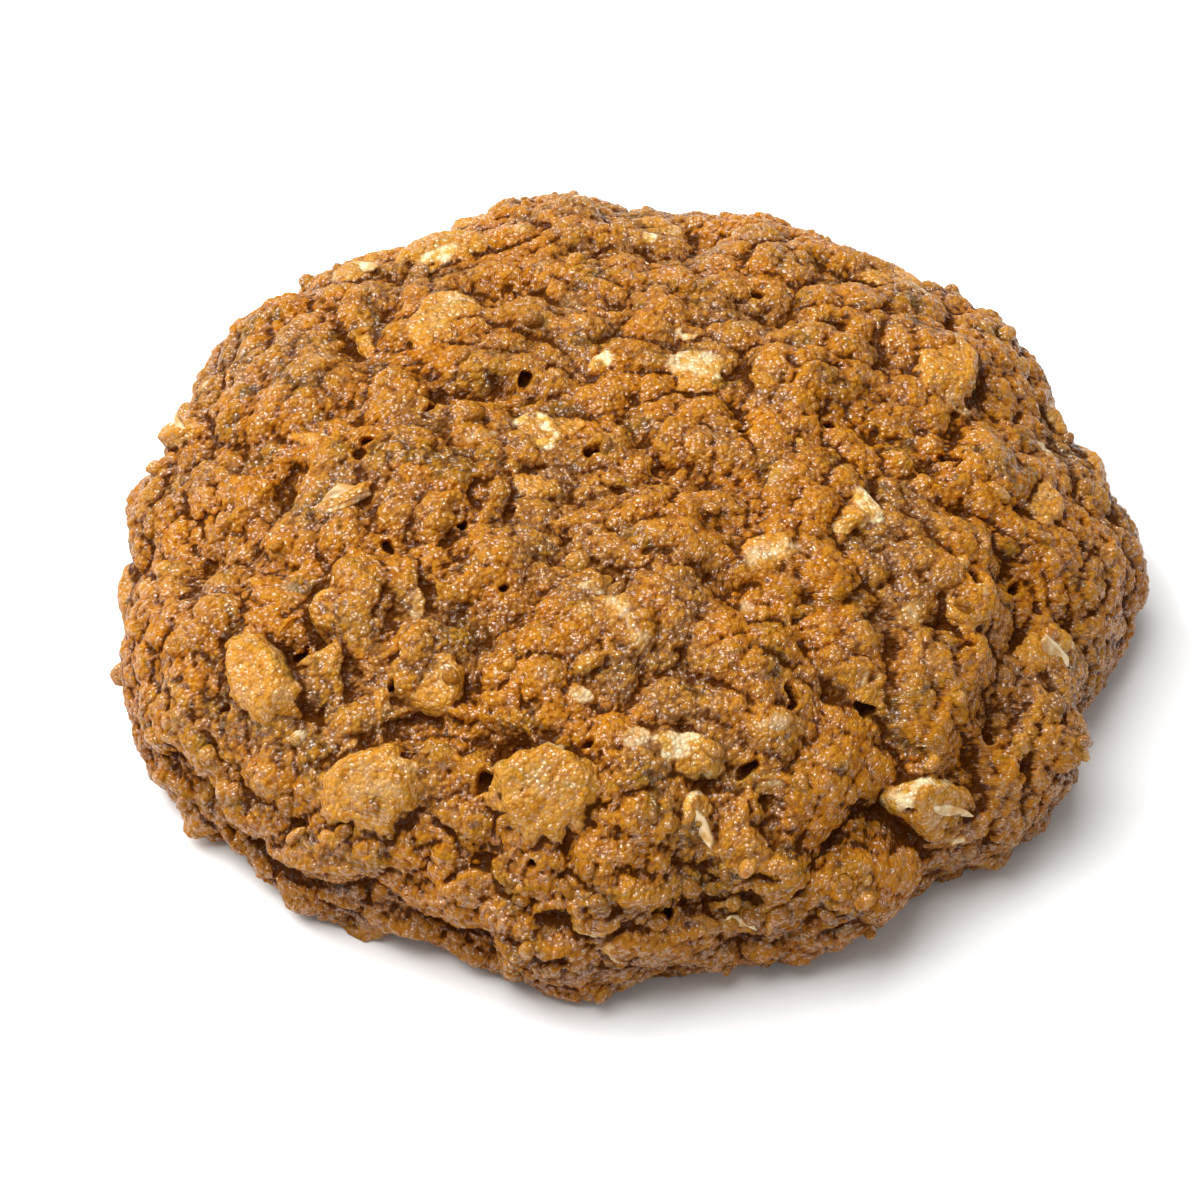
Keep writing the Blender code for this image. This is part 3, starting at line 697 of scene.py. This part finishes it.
def mesh_object(name, points, faces, marks=None, smooth=True):
    """A new object from arrays of points and faces, with one number per point for each mark."""
    corners = faces.shape[1]
    data = bpy.data.meshes.new(name)
    data.vertices.add(len(points))
    data.vertices.foreach_set("co", points.astype(np.float32).ravel())
    data.loops.add(faces.size)
    data.loops.foreach_set("vertex_index", faces.astype(np.int32).ravel())
    data.polygons.add(len(faces))
    data.polygons.foreach_set("loop_start", np.arange(0, faces.size, corners, dtype=np.int32))
    data.update(calc_edges=True)
    data.validate()
    data.polygons.foreach_set("use_smooth", np.full(len(data.polygons), smooth))
    for mark, values in (marks or {}).items():
        layer = data.attributes.new(mark, "FLOAT", "POINT")
        layer.data.foreach_set("value", values.astype(np.float32))
    item = bpy.data.objects.new(name, data)
    bpy.context.scene.collection.objects.link(item)
    return item


def part_of_mesh(name, points, faces, marks):
    """A mesh object from those faces alone, flat-shaded, so that each catches the light by itself."""
    used, corners = np.unique(faces, return_inverse=True)
    marks = {mark: values[used] for mark, values in marks.items()}
    return mesh_object(name, points[used], corners.reshape(faces.shape), marks, smooth=False)


def ball(cells):
    """A unit ball: the six sides of a cube as square grids, their points drawn in to length 1."""
    line = np.linspace(-1.0, 1.0, cells + 1)
    first, second = [grid.ravel() for grid in np.meshgrid(line, line, indexing="ij")]
    quads = quads_of_grid(cells + 1, cells + 1)
    points, faces = [], []
    for axis in range(3):
        for side in (-1.0, 1.0):
            sheet = np.zeros((len(first), 3))
            sheet[:, axis] = side
            sheet[:, (axis + 1) % 3] = first
            sheet[:, (axis + 2) % 3] = second
            faces.append((quads if side > 0.0 else quads[:, ::-1]) + len(points) * len(first))
            points.append(sheet)
    points, same = np.unique(np.round(np.concatenate(points), 6), axis=0, return_inverse=True)
    points = points / np.linalg.norm(points, axis=1, keepdims=True)
    return points, same.ravel()[np.concatenate(faces)]


def stuck_crumbs(grid, share, marks, count):
    """Points, faces and marks of small crumbs, each an uneven ball half sunk in the crust.

    Each ball is stretched by its own three radii, turned at random, and swelled
    along its own directions by smooth noise and by the crust's finest grain.
    """
    draw = np.random.default_rng(LOOSE_SEED)
    places = grid.reshape(-1, 3)
    chance = np.where(share > LOOSE_SIDE_FROM, LOOSE_ON_SIDE, 1.0) * (places[:, 2] > LOOSE_LOWEST)
    chosen = draw.choice(len(places), count, replace=False, p=chance / chance.sum())
    radii = draw.uniform(*LOOSE_SIZES, (count, 1, 3))
    turns = np.linalg.qr(draw.normal(size=(count, 3, 3)))[0]
    unit, faces = ball(LOOSE_CELLS)
    out = (unit[None] * radii) @ turns
    facing = facings(grid).reshape(-1, 3)[chosen]
    middles = places[chosen] - facing * radii.mean(axis=(1, 2))[:, None] * LOOSE_SINK
    points = (middles[:, None] + out).reshape(-1, 3)
    finest = FINE_LAYERS[-1]
    grain = finest.rise * clumps(points, finest.size, LOOSE_SEED + 1)[0]
    swelled = 1.0 + LOOSE_UNEVEN * swell(points, LOOSE_PATCH, LOOSE_SEED + 5)
    swelled = swelled + grain / np.mean(LOOSE_SIZES)
    points = np.repeat(middles, len(unit), axis=0) + out.reshape(-1, 3) * swelled[:, None]
    points[:, 2] = np.maximum(points[:, 2], LOWEST)
    faces = (faces[None] + len(unit) * np.arange(count)[:, None, None]).reshape(-1, 4)
    each = {
        # a fixed hollow shade value, for a little painted light
        "hollow_shade": np.full(count, LOOSE_HOLLOW),
        "foot": marks["foot"][chosen],
        "flake": np.maximum(draw.uniform(*LOOSE_GOLDEN, count), 0.0),
        "oat": np.where(draw.uniform(size=count) > LOOSE_BARE[0], LOOSE_BARE[1], 0.0),
    }
    return points, faces, {mark: np.repeat(values, len(unit)) for mark, values in each.items()}


def dress(item, material):
    """Give a piece its material and make it ride on the cookie in place of its solid."""
    item.data.materials.append(material)
    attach(item, BODY)
    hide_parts(NODE)


def set_inputs(tree, node, inputs):
    """Set a node's inputs to numbers or colours, or join them to other nodes' outputs."""
    for socket, value in inputs.items():
        if isinstance(value, bpy.types.NodeSocket):
            tree.links.new(value, node.inputs[socket])
        else:
            node.inputs[socket].default_value = value


def add_node(tree, kind, inputs=None, **fields):
    """Add a node with its fields and inputs."""
    node = tree.nodes.new(kind)
    for name, value in fields.items():
        setattr(node, name, value)
    set_inputs(tree, node, inputs or {})
    return node


def painted(tree, body, layers):
    """A colour under layers of paint, each mixed over what is under it by an eased share."""
    for layer in layers:
        cover = add_node(tree, "ShaderNodeMapRange", {
            "Value": layer.value, "From Min": layer.low, "From Max": layer.high, "To Max": layer.most,
        }, interpolation_type="SMOOTHSTEP").outputs["Result"]
        mix = add_node(tree, "ShaderNodeMix", {
            MIX_SHARE: cover, MIX_UNDER: body, MIX_OVER: layer.colour,
        }, data_type="RGBA")
        body = mix.outputs[MIX_RESULT]
    return body


def new_material(name):
    """An empty node material, its tree, shader and object coordinates."""
    material = bpy.data.materials.new(name)
    material.use_nodes = True
    tree = material.node_tree
    shader = tree.nodes["Principled BSDF"]
    spot = tree.nodes.new("ShaderNodeTexCoord").outputs["Object"]
    return material, tree, shader, spot


def crumb_material(settings):
    """Baked crumb: dough of butter, brown sugar and oats, baked to a grainy, sugary crust.

    To the eye it is moist and full of fine glints, where sugar grains face the
    light.  It glows amber where it is thin, is toasted at the foot, and golden or
    cream where an oat shows.  Painted shade darkens it to red-brown in the hollows,
    and painted light lifts the raised places.  Some light goes into it and comes
    out redder.
    """
    material, tree, shader, spot = new_material("baked_crumb")
    hollow_shade, oat, flake, foot = [
        add_node(tree, "ShaderNodeAttribute", attribute_name=mark).outputs["Fac"]
        for mark in ("hollow_shade", "oat", "flake", "foot")]
    broad, patch, speck, grain, toast = [
        add_node(tree, "ShaderNodeTexNoise", {
            "Vector": spot, "Scale": 1.0 / (size * MM), "Detail": detail,
            "Roughness": PATTERN_ROUGHNESS, "Distortion": twist,
        }).outputs["Fac"]
        for size, detail, twist in (
            (11.0, 2.0, 0.0), (4.0, 3.0, 0.0), (0.8, 2.0, 0.0), (0.42, 1.0, 0.6), (1.4, 2.0, 0.0))]
    golden = painted(tree, settings.flake, [Paint(speck, 0.40, 0.60, 1.0, linear("#B4741E"))])
    bare = painted(tree, settings.bare, [Paint(toast, 0.40, 0.58, 1.0, linear("#C6943E"))])
    body = painted(tree, settings.crust, [
        Paint(broad, 0.40, 0.62, 1.0, settings.crust_patches),
        Paint(patch, 0.47, 0.34, 1.0, linear("#644216")),
        Paint(patch, 0.52, 0.66, 0.6, linear("#AA6810")),
        Paint(flake, 0.1, 0.9, 0.68, golden),
        Paint(speck, 0.54, 0.70, 0.30, linear("#B88020")),
        Paint(grain, 0.50, 0.30, 0.40, linear("#683A05")),
        # Painted light: lighter on raised places, where the hollow shade value is low
        Paint(hollow_shade, 0.40, 0.10, 0.50, linear("#BC801C")),
        Paint(foot, 0.0, 1.0, 0.40, linear("#7A420C")),
        # Painted shade, dark red-brown, in the hollows between the clumps
        Paint(hollow_shade, 0.45, 0.85, 1.0, settings.hollow_shade),
        Paint(oat, 0.10, 0.95, 1.0, bare),
    ])
    rough, dull = [
        add_node(tree, "ShaderNodeMapRange", {
            "Value": value, "From Min": low, "From Max": high, "To Min": at_low, "To Max": at_high,
        }, interpolation_type="SMOOTHSTEP").outputs["Result"]
        for value, low, high, at_low, at_high in (
            (speck, 0.35, 0.65, 0.12, 0.22), (hollow_shade, 0.45, 0.85, 1.0, 0.15))]
    # Each sugar grain is a cell of its own brightness, drawn coarser than real so that it shows
    sugar = add_node(tree, "ShaderNodeTexVoronoi", {"Vector": spot, "Scale": 1.0 / SUGAR_GRAIN})
    glint = add_node(tree, "ShaderNodeMapRange", {
        "Value": sugar.outputs["Color"], "From Min": 0.38, "From Max": 0.72,
        "To Min": 0.08, "To Max": 1.05,
    }, interpolation_type="SMOOTHSTEP").outputs["Result"]
    away = sugar.outputs["Distance"]
    shine = add_node(tree, "ShaderNodeMath", {0: glint, 1: dull}, operation="MULTIPLY")
    dome = add_node(tree, "ShaderNodeMath", {0: away, 1: away}, operation="MULTIPLY")
    grains = add_node(tree, "ShaderNodeBump", {
        "Height": dome.outputs["Value"], "Strength": 1.0, "Distance": 0.20 * MM}, invert=True)
    shader.subsurface_method = "BURLEY"
    set_inputs(tree, shader, {
        "Base Color": body,
        "Roughness": rough,
        "Specular IOR Level": shine.outputs["Value"],
        "IOR": 1.5,
        "Subsurface Weight": 0.55,
        "Subsurface Radius": (1.0, 0.36, 0.10),
        "Subsurface Scale": 0.9 * MM,
        "Normal": grains.outputs["Normal"],
    })
    return material


def underside_material(settings):
    """Crumb baked on a tray: browner and drier, pressed flat, with open pores and flat oats.

    To the eye it is matt, with pores where a noise of 1.6 mm is low, dented by the
    bump and darkened by painted shade, and ragged pale spots in the middles of
    Voronoi cells of 9 mm.
    """
    material, tree, shader, spot = new_material("browned_underside")
    patch, speck, pore_noise = [
        add_node(tree, "ShaderNodeTexNoise", {
            "Vector": spot, "Scale": 1.0 / (size * MM), "Detail": detail, "Roughness": roughness,
        }).outputs["Fac"]
        for size, detail, roughness in (
            (9.0, 5.0, PATTERN_ROUGHNESS), (0.8, 3.0, PATTERN_ROUGHNESS), (1.6, 4.0, 0.65))]
    pore = add_node(tree, "ShaderNodeMapRange", {
        "Value": pore_noise, "From Min": 0.44, "From Max": 0.32,
    }, interpolation_type="SMOOTHSTEP").outputs["Result"]
    cells = add_node(tree, "ShaderNodeTexVoronoi", {"Vector": spot, "Scale": 1.0 / (9.0 * MM)})
    ragged = add_node(tree, "ShaderNodeMath", {0: cells.outputs["Distance"], 1: speck}, operation="ADD")
    body = painted(tree, settings.crust, [
        Paint(patch, 0.35, 0.65, 1.0, linear("#6E421F")),
        Paint(ragged.outputs["Value"], 0.84, 0.72, 0.50, settings.pressed_oat),
        Paint(speck, 0.52, 0.70, 0.6, linear("#A0703A")),
        # Painted shade in the pores
        Paint(pore_noise, 0.44, 0.32, 1.0, linear("#3E220C")),
    ])
    grain = add_node(tree, "ShaderNodeMath", {0: speck, 1: pore}, operation="SUBTRACT")
    bump = add_node(tree, "ShaderNodeBump", {
        "Height": grain.outputs["Value"], "Strength": 0.9, "Distance": 0.3 * MM})
    set_inputs(tree, shader, {
        "Base Color": body,
        "Roughness": 0.6,
        "Normal": bump.outputs["Normal"],
    })
    return material


def oat_material(settings):
    """Rolled oat, steamed, pressed flat and dried: matt cream, golden where it is toasted.

    To the eye it is dry and softly lit through its thin edge, with fine ribs along
    the flake, which follow the flake's own "rib" places.
    """
    material, tree, shader, spot = new_material("rolled_oat")
    rib_place = add_node(tree, "ShaderNodeAttribute", attribute_name="rib").outputs["Vector"]
    rim = add_node(tree, "ShaderNodeAttribute", attribute_name="rim").outputs["Fac"]
    ribs, toast = [
        add_node(tree, "ShaderNodeTexNoise", {
            "Vector": where, "Scale": scale, "Detail": 2.0, "Roughness": PATTERN_ROUGHNESS,
        }).outputs["Fac"]
        for where, scale in ((rib_place, 1.0), (spot, 1.0 / (1.6 * MM)))]
    body = painted(tree, settings.cream, [
        Paint(toast, 0.42, 0.62, 1.0, settings.toasted),
        Paint(ribs, 0.40, 0.62, 0.4, linear("#BC924E")),
        Paint(rim, 0.85, 1.0, 0.3, linear("#A26E2A")),
    ])
    bump = add_node(tree, "ShaderNodeBump", {"Height": ribs, "Strength": 0.8, "Distance": 0.08 * MM})
    set_inputs(tree, shader, {
        "Base Color": body,
        "Roughness": 0.5,
        "Specular IOR Level": 0.35,
        "Subsurface Weight": 0.25,
        "Subsurface Radius": (1.0, 0.7, 0.35),
        "Subsurface Scale": 0.5 * MM,
        "Normal": bump.outputs["Normal"],
    })
    return material


def floor_material(settings):
    """Matt white card under the cookie: plain, with next to no gloss, so that it shows only shade."""
    material, tree, shader, _ = new_material("white_paper")
    set_inputs(tree, shader, {
        "Base Color": settings.floor_colour, "Roughness": 0.9, "Specular IOR Level": 0.1})
    return material


def oat_mesh(oat, draw):
    """Points, triangles, rib places and rim marks of one thin curled oat, at the middle of the axes.

    Top and bottom are the same rings of an ellipse.  Each ring's height is half
    the thickness, sqrt(1 - r^4), above or below a middle sheet that curls up
    towards its rim and sinks in a groove along its length.
    """
    rings = np.linspace(0.0, 1.0, OAT_RINGS + 1)[1:]
    angle = np.linspace(0.0, 2.0 * np.pi, OAT_SIDES, endpoint=False)
    radius, angle = np.meshgrid(rings, angle, indexing="ij")
    phase = draw.uniform(0.0, 6.0, 3)
    ragged = 1.0
    for waves, shift, much in ((2.0, phase[0], 0.10), (3.0, phase[1], 0.08), (7.0, phase[2], 0.06)):
        ragged = ragged + much * np.sin(waves * angle + shift)
    ragged = np.minimum(ragged, OAT_BREAK / np.maximum(np.cos(angle - phase[1]), 0.01))
    across = radius * ragged * np.cos(angle) * oat.long * MM / 2.0
    along = radius * ragged * np.sin(angle) * oat.wide * MM / 2.0
    groove = OAT_GROOVE * np.exp(-(along / (OAT_GROOVE_SHARE * oat.wide * MM)) ** 2)
    sheet = OAT_CURL * radius ** 2 * np.sin(2.0 * angle + phase[2])
    half = OAT_THICK / 2.0 * np.sqrt(np.clip(1.0 - radius ** 4, 0.0, 1.0))
    over = sheet + half - groove * (1.0 - radius ** 2)
    top = np.stack([across, along, over], axis=-1).reshape(-1, 3)
    bottom = np.stack([across, along, sheet - half], axis=-1)[:-1].reshape(-1, 3)
    middles = np.array([[0.0, 0.0, OAT_THICK / 2.0 - OAT_GROOVE], [0.0, 0.0, -OAT_THICK / 2.0]])
    points = np.concatenate([top, bottom, middles])

    numbers = np.arange(OAT_RINGS * OAT_SIDES).reshape(OAT_RINGS, OAT_SIDES)
    under = np.concatenate([numbers[:-1] + numbers.size, numbers[-1:]])
    faces = []
    for here, flip in ((numbers, False), (under, True)):
        ahead = np.roll(here, -1, axis=1)
        middle = np.full(OAT_SIDES, len(points) - (1 if flip else 2))
        side = np.concatenate([
            np.stack([middle, here[0], ahead[0]], axis=-1),
            np.stack([here[:-1], here[1:], ahead[1:]], axis=-1).reshape(-1, 3),
            np.stack([here[:-1], ahead[1:], ahead[:-1]], axis=-1).reshape(-1, 3),
        ])
        faces.append(side[:, ::-1] if flip else side)
    rib = np.stack([points[:, 0] / RIB_LONG, points[:, 1] / RIB_WIDE, points[:, 2] * 0.0], axis=1)
    rim = np.concatenate([radius.ravel(), radius[:-1].ravel(), [0.0, 0.0]])
    return points, np.concatenate(faces), rib + phase, rim


def oats_on(surface, surface_share, surface_clock):
    """All the bare oats, each leaned back on the crumb under its middle and half sunk in it."""
    draw = np.random.default_rng(OAT_SEED)
    pieces = []
    count = 0
    for oat in OATS:
        clock = np.radians(oat.clock)
        around = oat.share * np.sin((surface_clock - clock) / 2.0) * 2.0
        under = np.argsort(np.hypot(surface_share - oat.share, around))[:OAT_RESTS_ON]
        middle = surface[under].mean(axis=0)
        _, rises = place(oat.clock, oat.share)
        sideways = np.array([-np.sin(clock), np.cos(clock), 0.0])
        outward = np.cross(sideways, rises)
        turn = np.radians(oat.turn)
        long_way = outward * np.cos(turn) + sideways * np.sin(turn)
        wide_way = np.cross(rises, long_way)
        lean = np.radians(oat.lean) * (1.0 if wide_way @ AWAY_FROM_FRONT > 0.0 else -1.0)
        wide_way, up = (wide_way * np.cos(lean) + rises * np.sin(lean),
                        rises * np.cos(lean) - wide_way * np.sin(lean))
        points, faces, rib, rim = oat_mesh(oat, draw)
        turned = points @ np.stack([long_way, wide_way, up])
        pieces.append((middle + rises * OAT_PROUD + turned, faces + count, rib, rim))
        count += len(points)
    return [np.concatenate(part) for part in zip(*pieces)]


def underside(grid):
    """Points and triangles of the flat underside.

    Each ring is the crumb's own foot, shrunk by equal steps towards its middle.
    """
    rim = np.concatenate([grid[:-1, 0], grid[-1, :-1], grid[:0:-1, -1], grid[0, :0:-1]])
    middle = rim.mean(axis=0)
    shares = np.linspace(1.0, 0.0, UNDERSIDE_RINGS + 1)[:-1]
    rings = np.concatenate([middle + (rim - middle) * share for share in shares])
    points = np.concatenate([rings, middle[None]])
    here = np.arange(len(rings)).reshape(UNDERSIDE_RINGS, len(rim))
    ahead = np.roll(here, -1, axis=1)
    outer = np.stack([here[:-1], here[1:], ahead[:-1]], axis=-1).reshape(-1, 3)
    inner = np.stack([ahead[:-1], here[1:], ahead[1:]], axis=-1).reshape(-1, 3)
    middle_number = np.full(len(rim), len(rings))
    last = np.stack([here[-1], middle_number, ahead[-1]], axis=-1)
    return points, np.concatenate([outer, inner, last])


def colour_property(name, description, hex_colour):
    """A colour that the user may change, its default an sRGB hex colour."""
    return FloatVectorProperty(
        name=name, description=description, default=linear(hex_colour), size=4, min=0.0, max=1.0,
        subtype="COLOR")


class CrumbSettings(bpy.types.PropertyGroup):
    """Mesh, flakes and colours of the crumb."""

    cells: IntProperty(
        name="Cells", description="Cells along each side of the crumb's grid", default=620)
    crowding: FloatProperty(
        name="Crowding", description="How much finer the middle's cells are", default=0.15,
        subtype="FACTOR")
    bands: IntProperty(
        name="Bands", description="Rings that the crumb is split into, from the top down", default=5)
    half_buried: IntProperty(
        name="Half-buried flakes", description="Oat flakes that lie in the crumb by a seeded draw",
        default=150)
    crust: colour_property("Crust", "Colour of the baked crust", "#985A0C")
    crust_patches: colour_property("Crust patches", "Colour of the crust's duller parts", "#7E5226")
    # The painted shade's colour, laid in the hollows between the clumps
    hollow_shade: colour_property("Hollows", "Colour between the clumps", "#482406")
    flake: colour_property("Flakes", "Colour of the oat flakes under the crust", "#D29A46")
    bare: colour_property("Bare oat", "Colour where an oat shows through the crust", "#E4CDA0")


class StuckSettings(bpy.types.PropertyGroup):
    """Small crumbs that cling to the crust."""

    count: IntProperty(name="Stuck crumbs", description="Small crumbs stuck on the crust", default=160)


class UndersideSettings(bpy.types.PropertyGroup):
    """Colours of the underside."""

    crust: colour_property("Underside", "Colour of the crust baked on the tray", "#8A5524")
    pressed_oat: colour_property("Pressed oats", "Colour of the oats pressed flat", "#A87A3E")


class OatSettings(bpy.types.PropertyGroup):
    """Colours of the bare oats."""

    cream: colour_property("Oat", "Colour of a bare rolled oat", "#E2CBA4")
    toasted: colour_property("Toasted oat", "Colour of an oat where it is toasted", "#BA8A44")


class StudioSettings(bpy.types.PropertyGroup):
    """Camera, floor and lights."""

    lens: FloatProperty(name="Lens", description="Focal length in millimetres", default=135.0)
    distance: FloatProperty(
        name="Distance", description="From the camera to its aim", default=0.350, unit="LENGTH")
    elevation: FloatProperty(
        name="Elevation", description="Camera's angle above the floor", default=np.radians(48.0),
        subtype="ANGLE")
    aim: FloatVectorProperty(
        name="Aim", description="Point that the camera looks at", default=(-0.0026, -0.00335, 0.00597),
        subtype="TRANSLATION")
    floor_size: FloatProperty(
        name="Floor", description="Width of the floor", default=4.0, unit="LENGTH")
    floor_colour: FloatVectorProperty(
        name="Floor colour", description="Colour of the floor", default=(0.92, 0.92, 0.92, 1.0),
        size=4, min=0.0, max=1.0, subtype="COLOR")
    surround: FloatProperty(
        name="Surround", description="Strength of the light from all round", default=0.40)


def built_surface(context):
    """The crumb's surface with the user's settings."""
    settings = context.scene.cookie_crumb
    return crumb_surface(settings.cells, settings.crowding, settings.half_buried)


class COOKIE_OT_crumb(bpy.types.Operator):
    """Build the crumb's top and side, in rings"""

    bl_idname = "cookie.crumb"
    bl_label = "Build crumb"

    def execute(self, context):
        settings = context.scene.cookie_crumb
        points, share, _, marks = built_surface(context)
        quads = quads_of_grid(settings.cells + 1, settings.cells + 1)
        order = np.argsort(np.max(share[quads], axis=1), kind="stable")
        material = crumb_material(settings)
        for number, band in enumerate(np.array_split(order, settings.bands)):
            dress(part_of_mesh(f"crumb_band_{number + 1}", points, quads[band], marks), material)
        return {"FINISHED"}


class COOKIE_OT_stuck_crumbs(bpy.types.Operator):
    """Build the small crumbs that cling to the crust, in the crust's own material"""

    bl_idname = "cookie.stuck_crumbs"
    bl_label = "Build stuck crumbs"

    def execute(self, context):
        points, share, _, marks = built_surface(context)
        side = context.scene.cookie_crumb.cells + 1
        count = context.scene.cookie_stuck.count
        crumbs = stuck_crumbs(points.reshape(side, side, 3), share, marks, count)
        crust = bpy.data.objects["crumb_band_1"].data.materials[0]
        dress(mesh_object("stuck_crumbs", *crumbs), crust)
        return {"FINISHED"}


class COOKIE_OT_underside(bpy.types.Operator):
    """Build the flat underside"""

    bl_idname = "cookie.underside"
    bl_label = "Build underside"

    def execute(self, context):
        points = built_surface(context)[0]
        side = context.scene.cookie_crumb.cells + 1
        piece = mesh_object("crumb_underside", *underside(points.reshape(side, side, 3)))
        dress(piece, underside_material(context.scene.cookie_underside))
        return {"FINISHED"}


class COOKIE_OT_oats(bpy.types.Operator):
    """Build the bare slivers of oat"""

    bl_idname = "cookie.oats"
    bl_label = "Build oats"

    def execute(self, context):
        points, share, clock, _ = built_surface(context)
        points, faces, ribs, rims = oats_on(points, share, clock)
        oats = mesh_object("bare_oats", points, faces, {"rim": rims})
        layer = oats.data.attributes.new("rib", "FLOAT_VECTOR", "POINT")
        layer.data.foreach_set("vector", ribs.astype(np.float32).ravel())
        dress(oats, oat_material(context.scene.cookie_oats))
        return {"FINISHED"}


class COOKIE_OT_studio(bpy.types.Operator):
    """Set up the floor, lights and camera"""

    bl_idname = "cookie.studio"
    bl_label = "Set up studio"

    def execute(self, context):
        settings = context.scene.cookie_studio
        corners = np.array([[-1, -1, 0], [1, -1, 0], [1, 1, 0], [-1, 1, 0]]) * settings.floor_size / 2.0
        floor = mesh_object("floor", corners, np.array([[0, 1, 2, 3]]))
        floor.data.materials.append(floor_material(settings))
        floor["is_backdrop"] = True
        context.scene.view_settings.view_transform = "Standard"
        add_world(settings.surround)
        for softbox in SOFTBOXES:
            add_softbox(softbox)
        add_camera(context, settings)
        return {"FINISHED"}


def add_world(strength):
    """Even white light from all round."""
    world = bpy.data.worlds.new("white_surround")
    world.use_nodes = True
    background = world.node_tree.nodes["Background"]
    background.inputs["Color"].default_value = STUDIO_WHITE
    background.inputs["Strength"].default_value = strength
    bpy.context.scene.world = world


def aim_at(item, target):
    """Turn a light or camera so that it looks at the target."""
    item.rotation_euler = (Vector(target) - item.location).to_track_quat("-Z", "Y").to_euler()


def add_softbox(softbox):
    """A square area light that faces the cookie's foot."""
    data = bpy.data.lights.new(softbox.name, "AREA")
    data.shape = "SQUARE"
    data.size = softbox.size
    data.energy = softbox.power
    item = bpy.data.objects.new(softbox.name, data)
    item.location = softbox.location
    bpy.context.scene.collection.objects.link(item)
    aim_at(item, (0.0, 0.0, 0.0))


def add_camera(context, settings):
    """The camera at the photograph's angle."""
    data = bpy.data.cameras.new("camera")
    data.lens = settings.lens
    data.sensor_width = SENSOR_WIDTH
    data.clip_start = NEAREST_SEEN
    data.dof.use_dof = False
    camera = bpy.data.objects.new("camera", data)
    aim = np.array(settings.aim)
    back = np.array([0.0, -np.cos(settings.elevation), np.sin(settings.elevation)])
    camera.location = aim + settings.distance * back
    context.scene.collection.objects.link(camera)
    aim_at(camera, aim)
    context.scene.camera = camera


# Each property group by its name in the scene, and its operator, in the order of building
BUILDS = {
    "cookie_studio": (StudioSettings, COOKIE_OT_studio),
    "cookie_crumb": (CrumbSettings, COOKIE_OT_crumb),
    "cookie_stuck": (StuckSettings, COOKIE_OT_stuck_crumbs),
    "cookie_underside": (UndersideSettings, COOKIE_OT_underside),
    "cookie_oats": (OatSettings, COOKIE_OT_oats),
}


class COOKIE_PT_panel(bpy.types.Panel):
    """The cookie's settings and build buttons"""

    bl_label = "Oatmeal Cookie"
    bl_idname = "COOKIE_PT_panel"
    bl_space_type = "VIEW_3D"
    bl_region_type = "UI"
    bl_category = "Cookie"

    def draw(self, context):
        for name, (_, operator) in BUILDS.items():
            settings = getattr(context.scene, name)
            box = self.layout.box()
            for field in settings.bl_rna.properties.keys():
                if field not in {"rna_type", "name"}:
                    box.prop(settings, field)
            box.operator(operator.bl_idname)


def register():
    for name, (group, operator) in BUILDS.items():
        bpy.utils.register_class(group)
        bpy.utils.register_class(operator)
        setattr(bpy.types.Scene, name, PointerProperty(type=group))
    bpy.utils.register_class(COOKIE_PT_panel)


def unregister():
    bpy.utils.unregister_class(COOKIE_PT_panel)
    for name, (group, operator) in reversed(BUILDS.items()):
        delattr(bpy.types.Scene, name)
        bpy.utils.unregister_class(operator)
        bpy.utils.unregister_class(group)


def main():
    """Build everything, then work out the solid's box and the dressed cookie's box."""
    register()
    bpy.ops.cookie.studio()
    bpy.ops.cookie.crumb()
    bpy.ops.cookie.stuck_crumbs()
    bpy.ops.cookie.underside()
    bpy.ops.cookie.oats()
    boxes = {"cad": CAD_BOX, "visual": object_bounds()}
    {name: [list(corner) for corner in box] for name, box in boxes.items()}


if __name__ == "__main__":
    main()
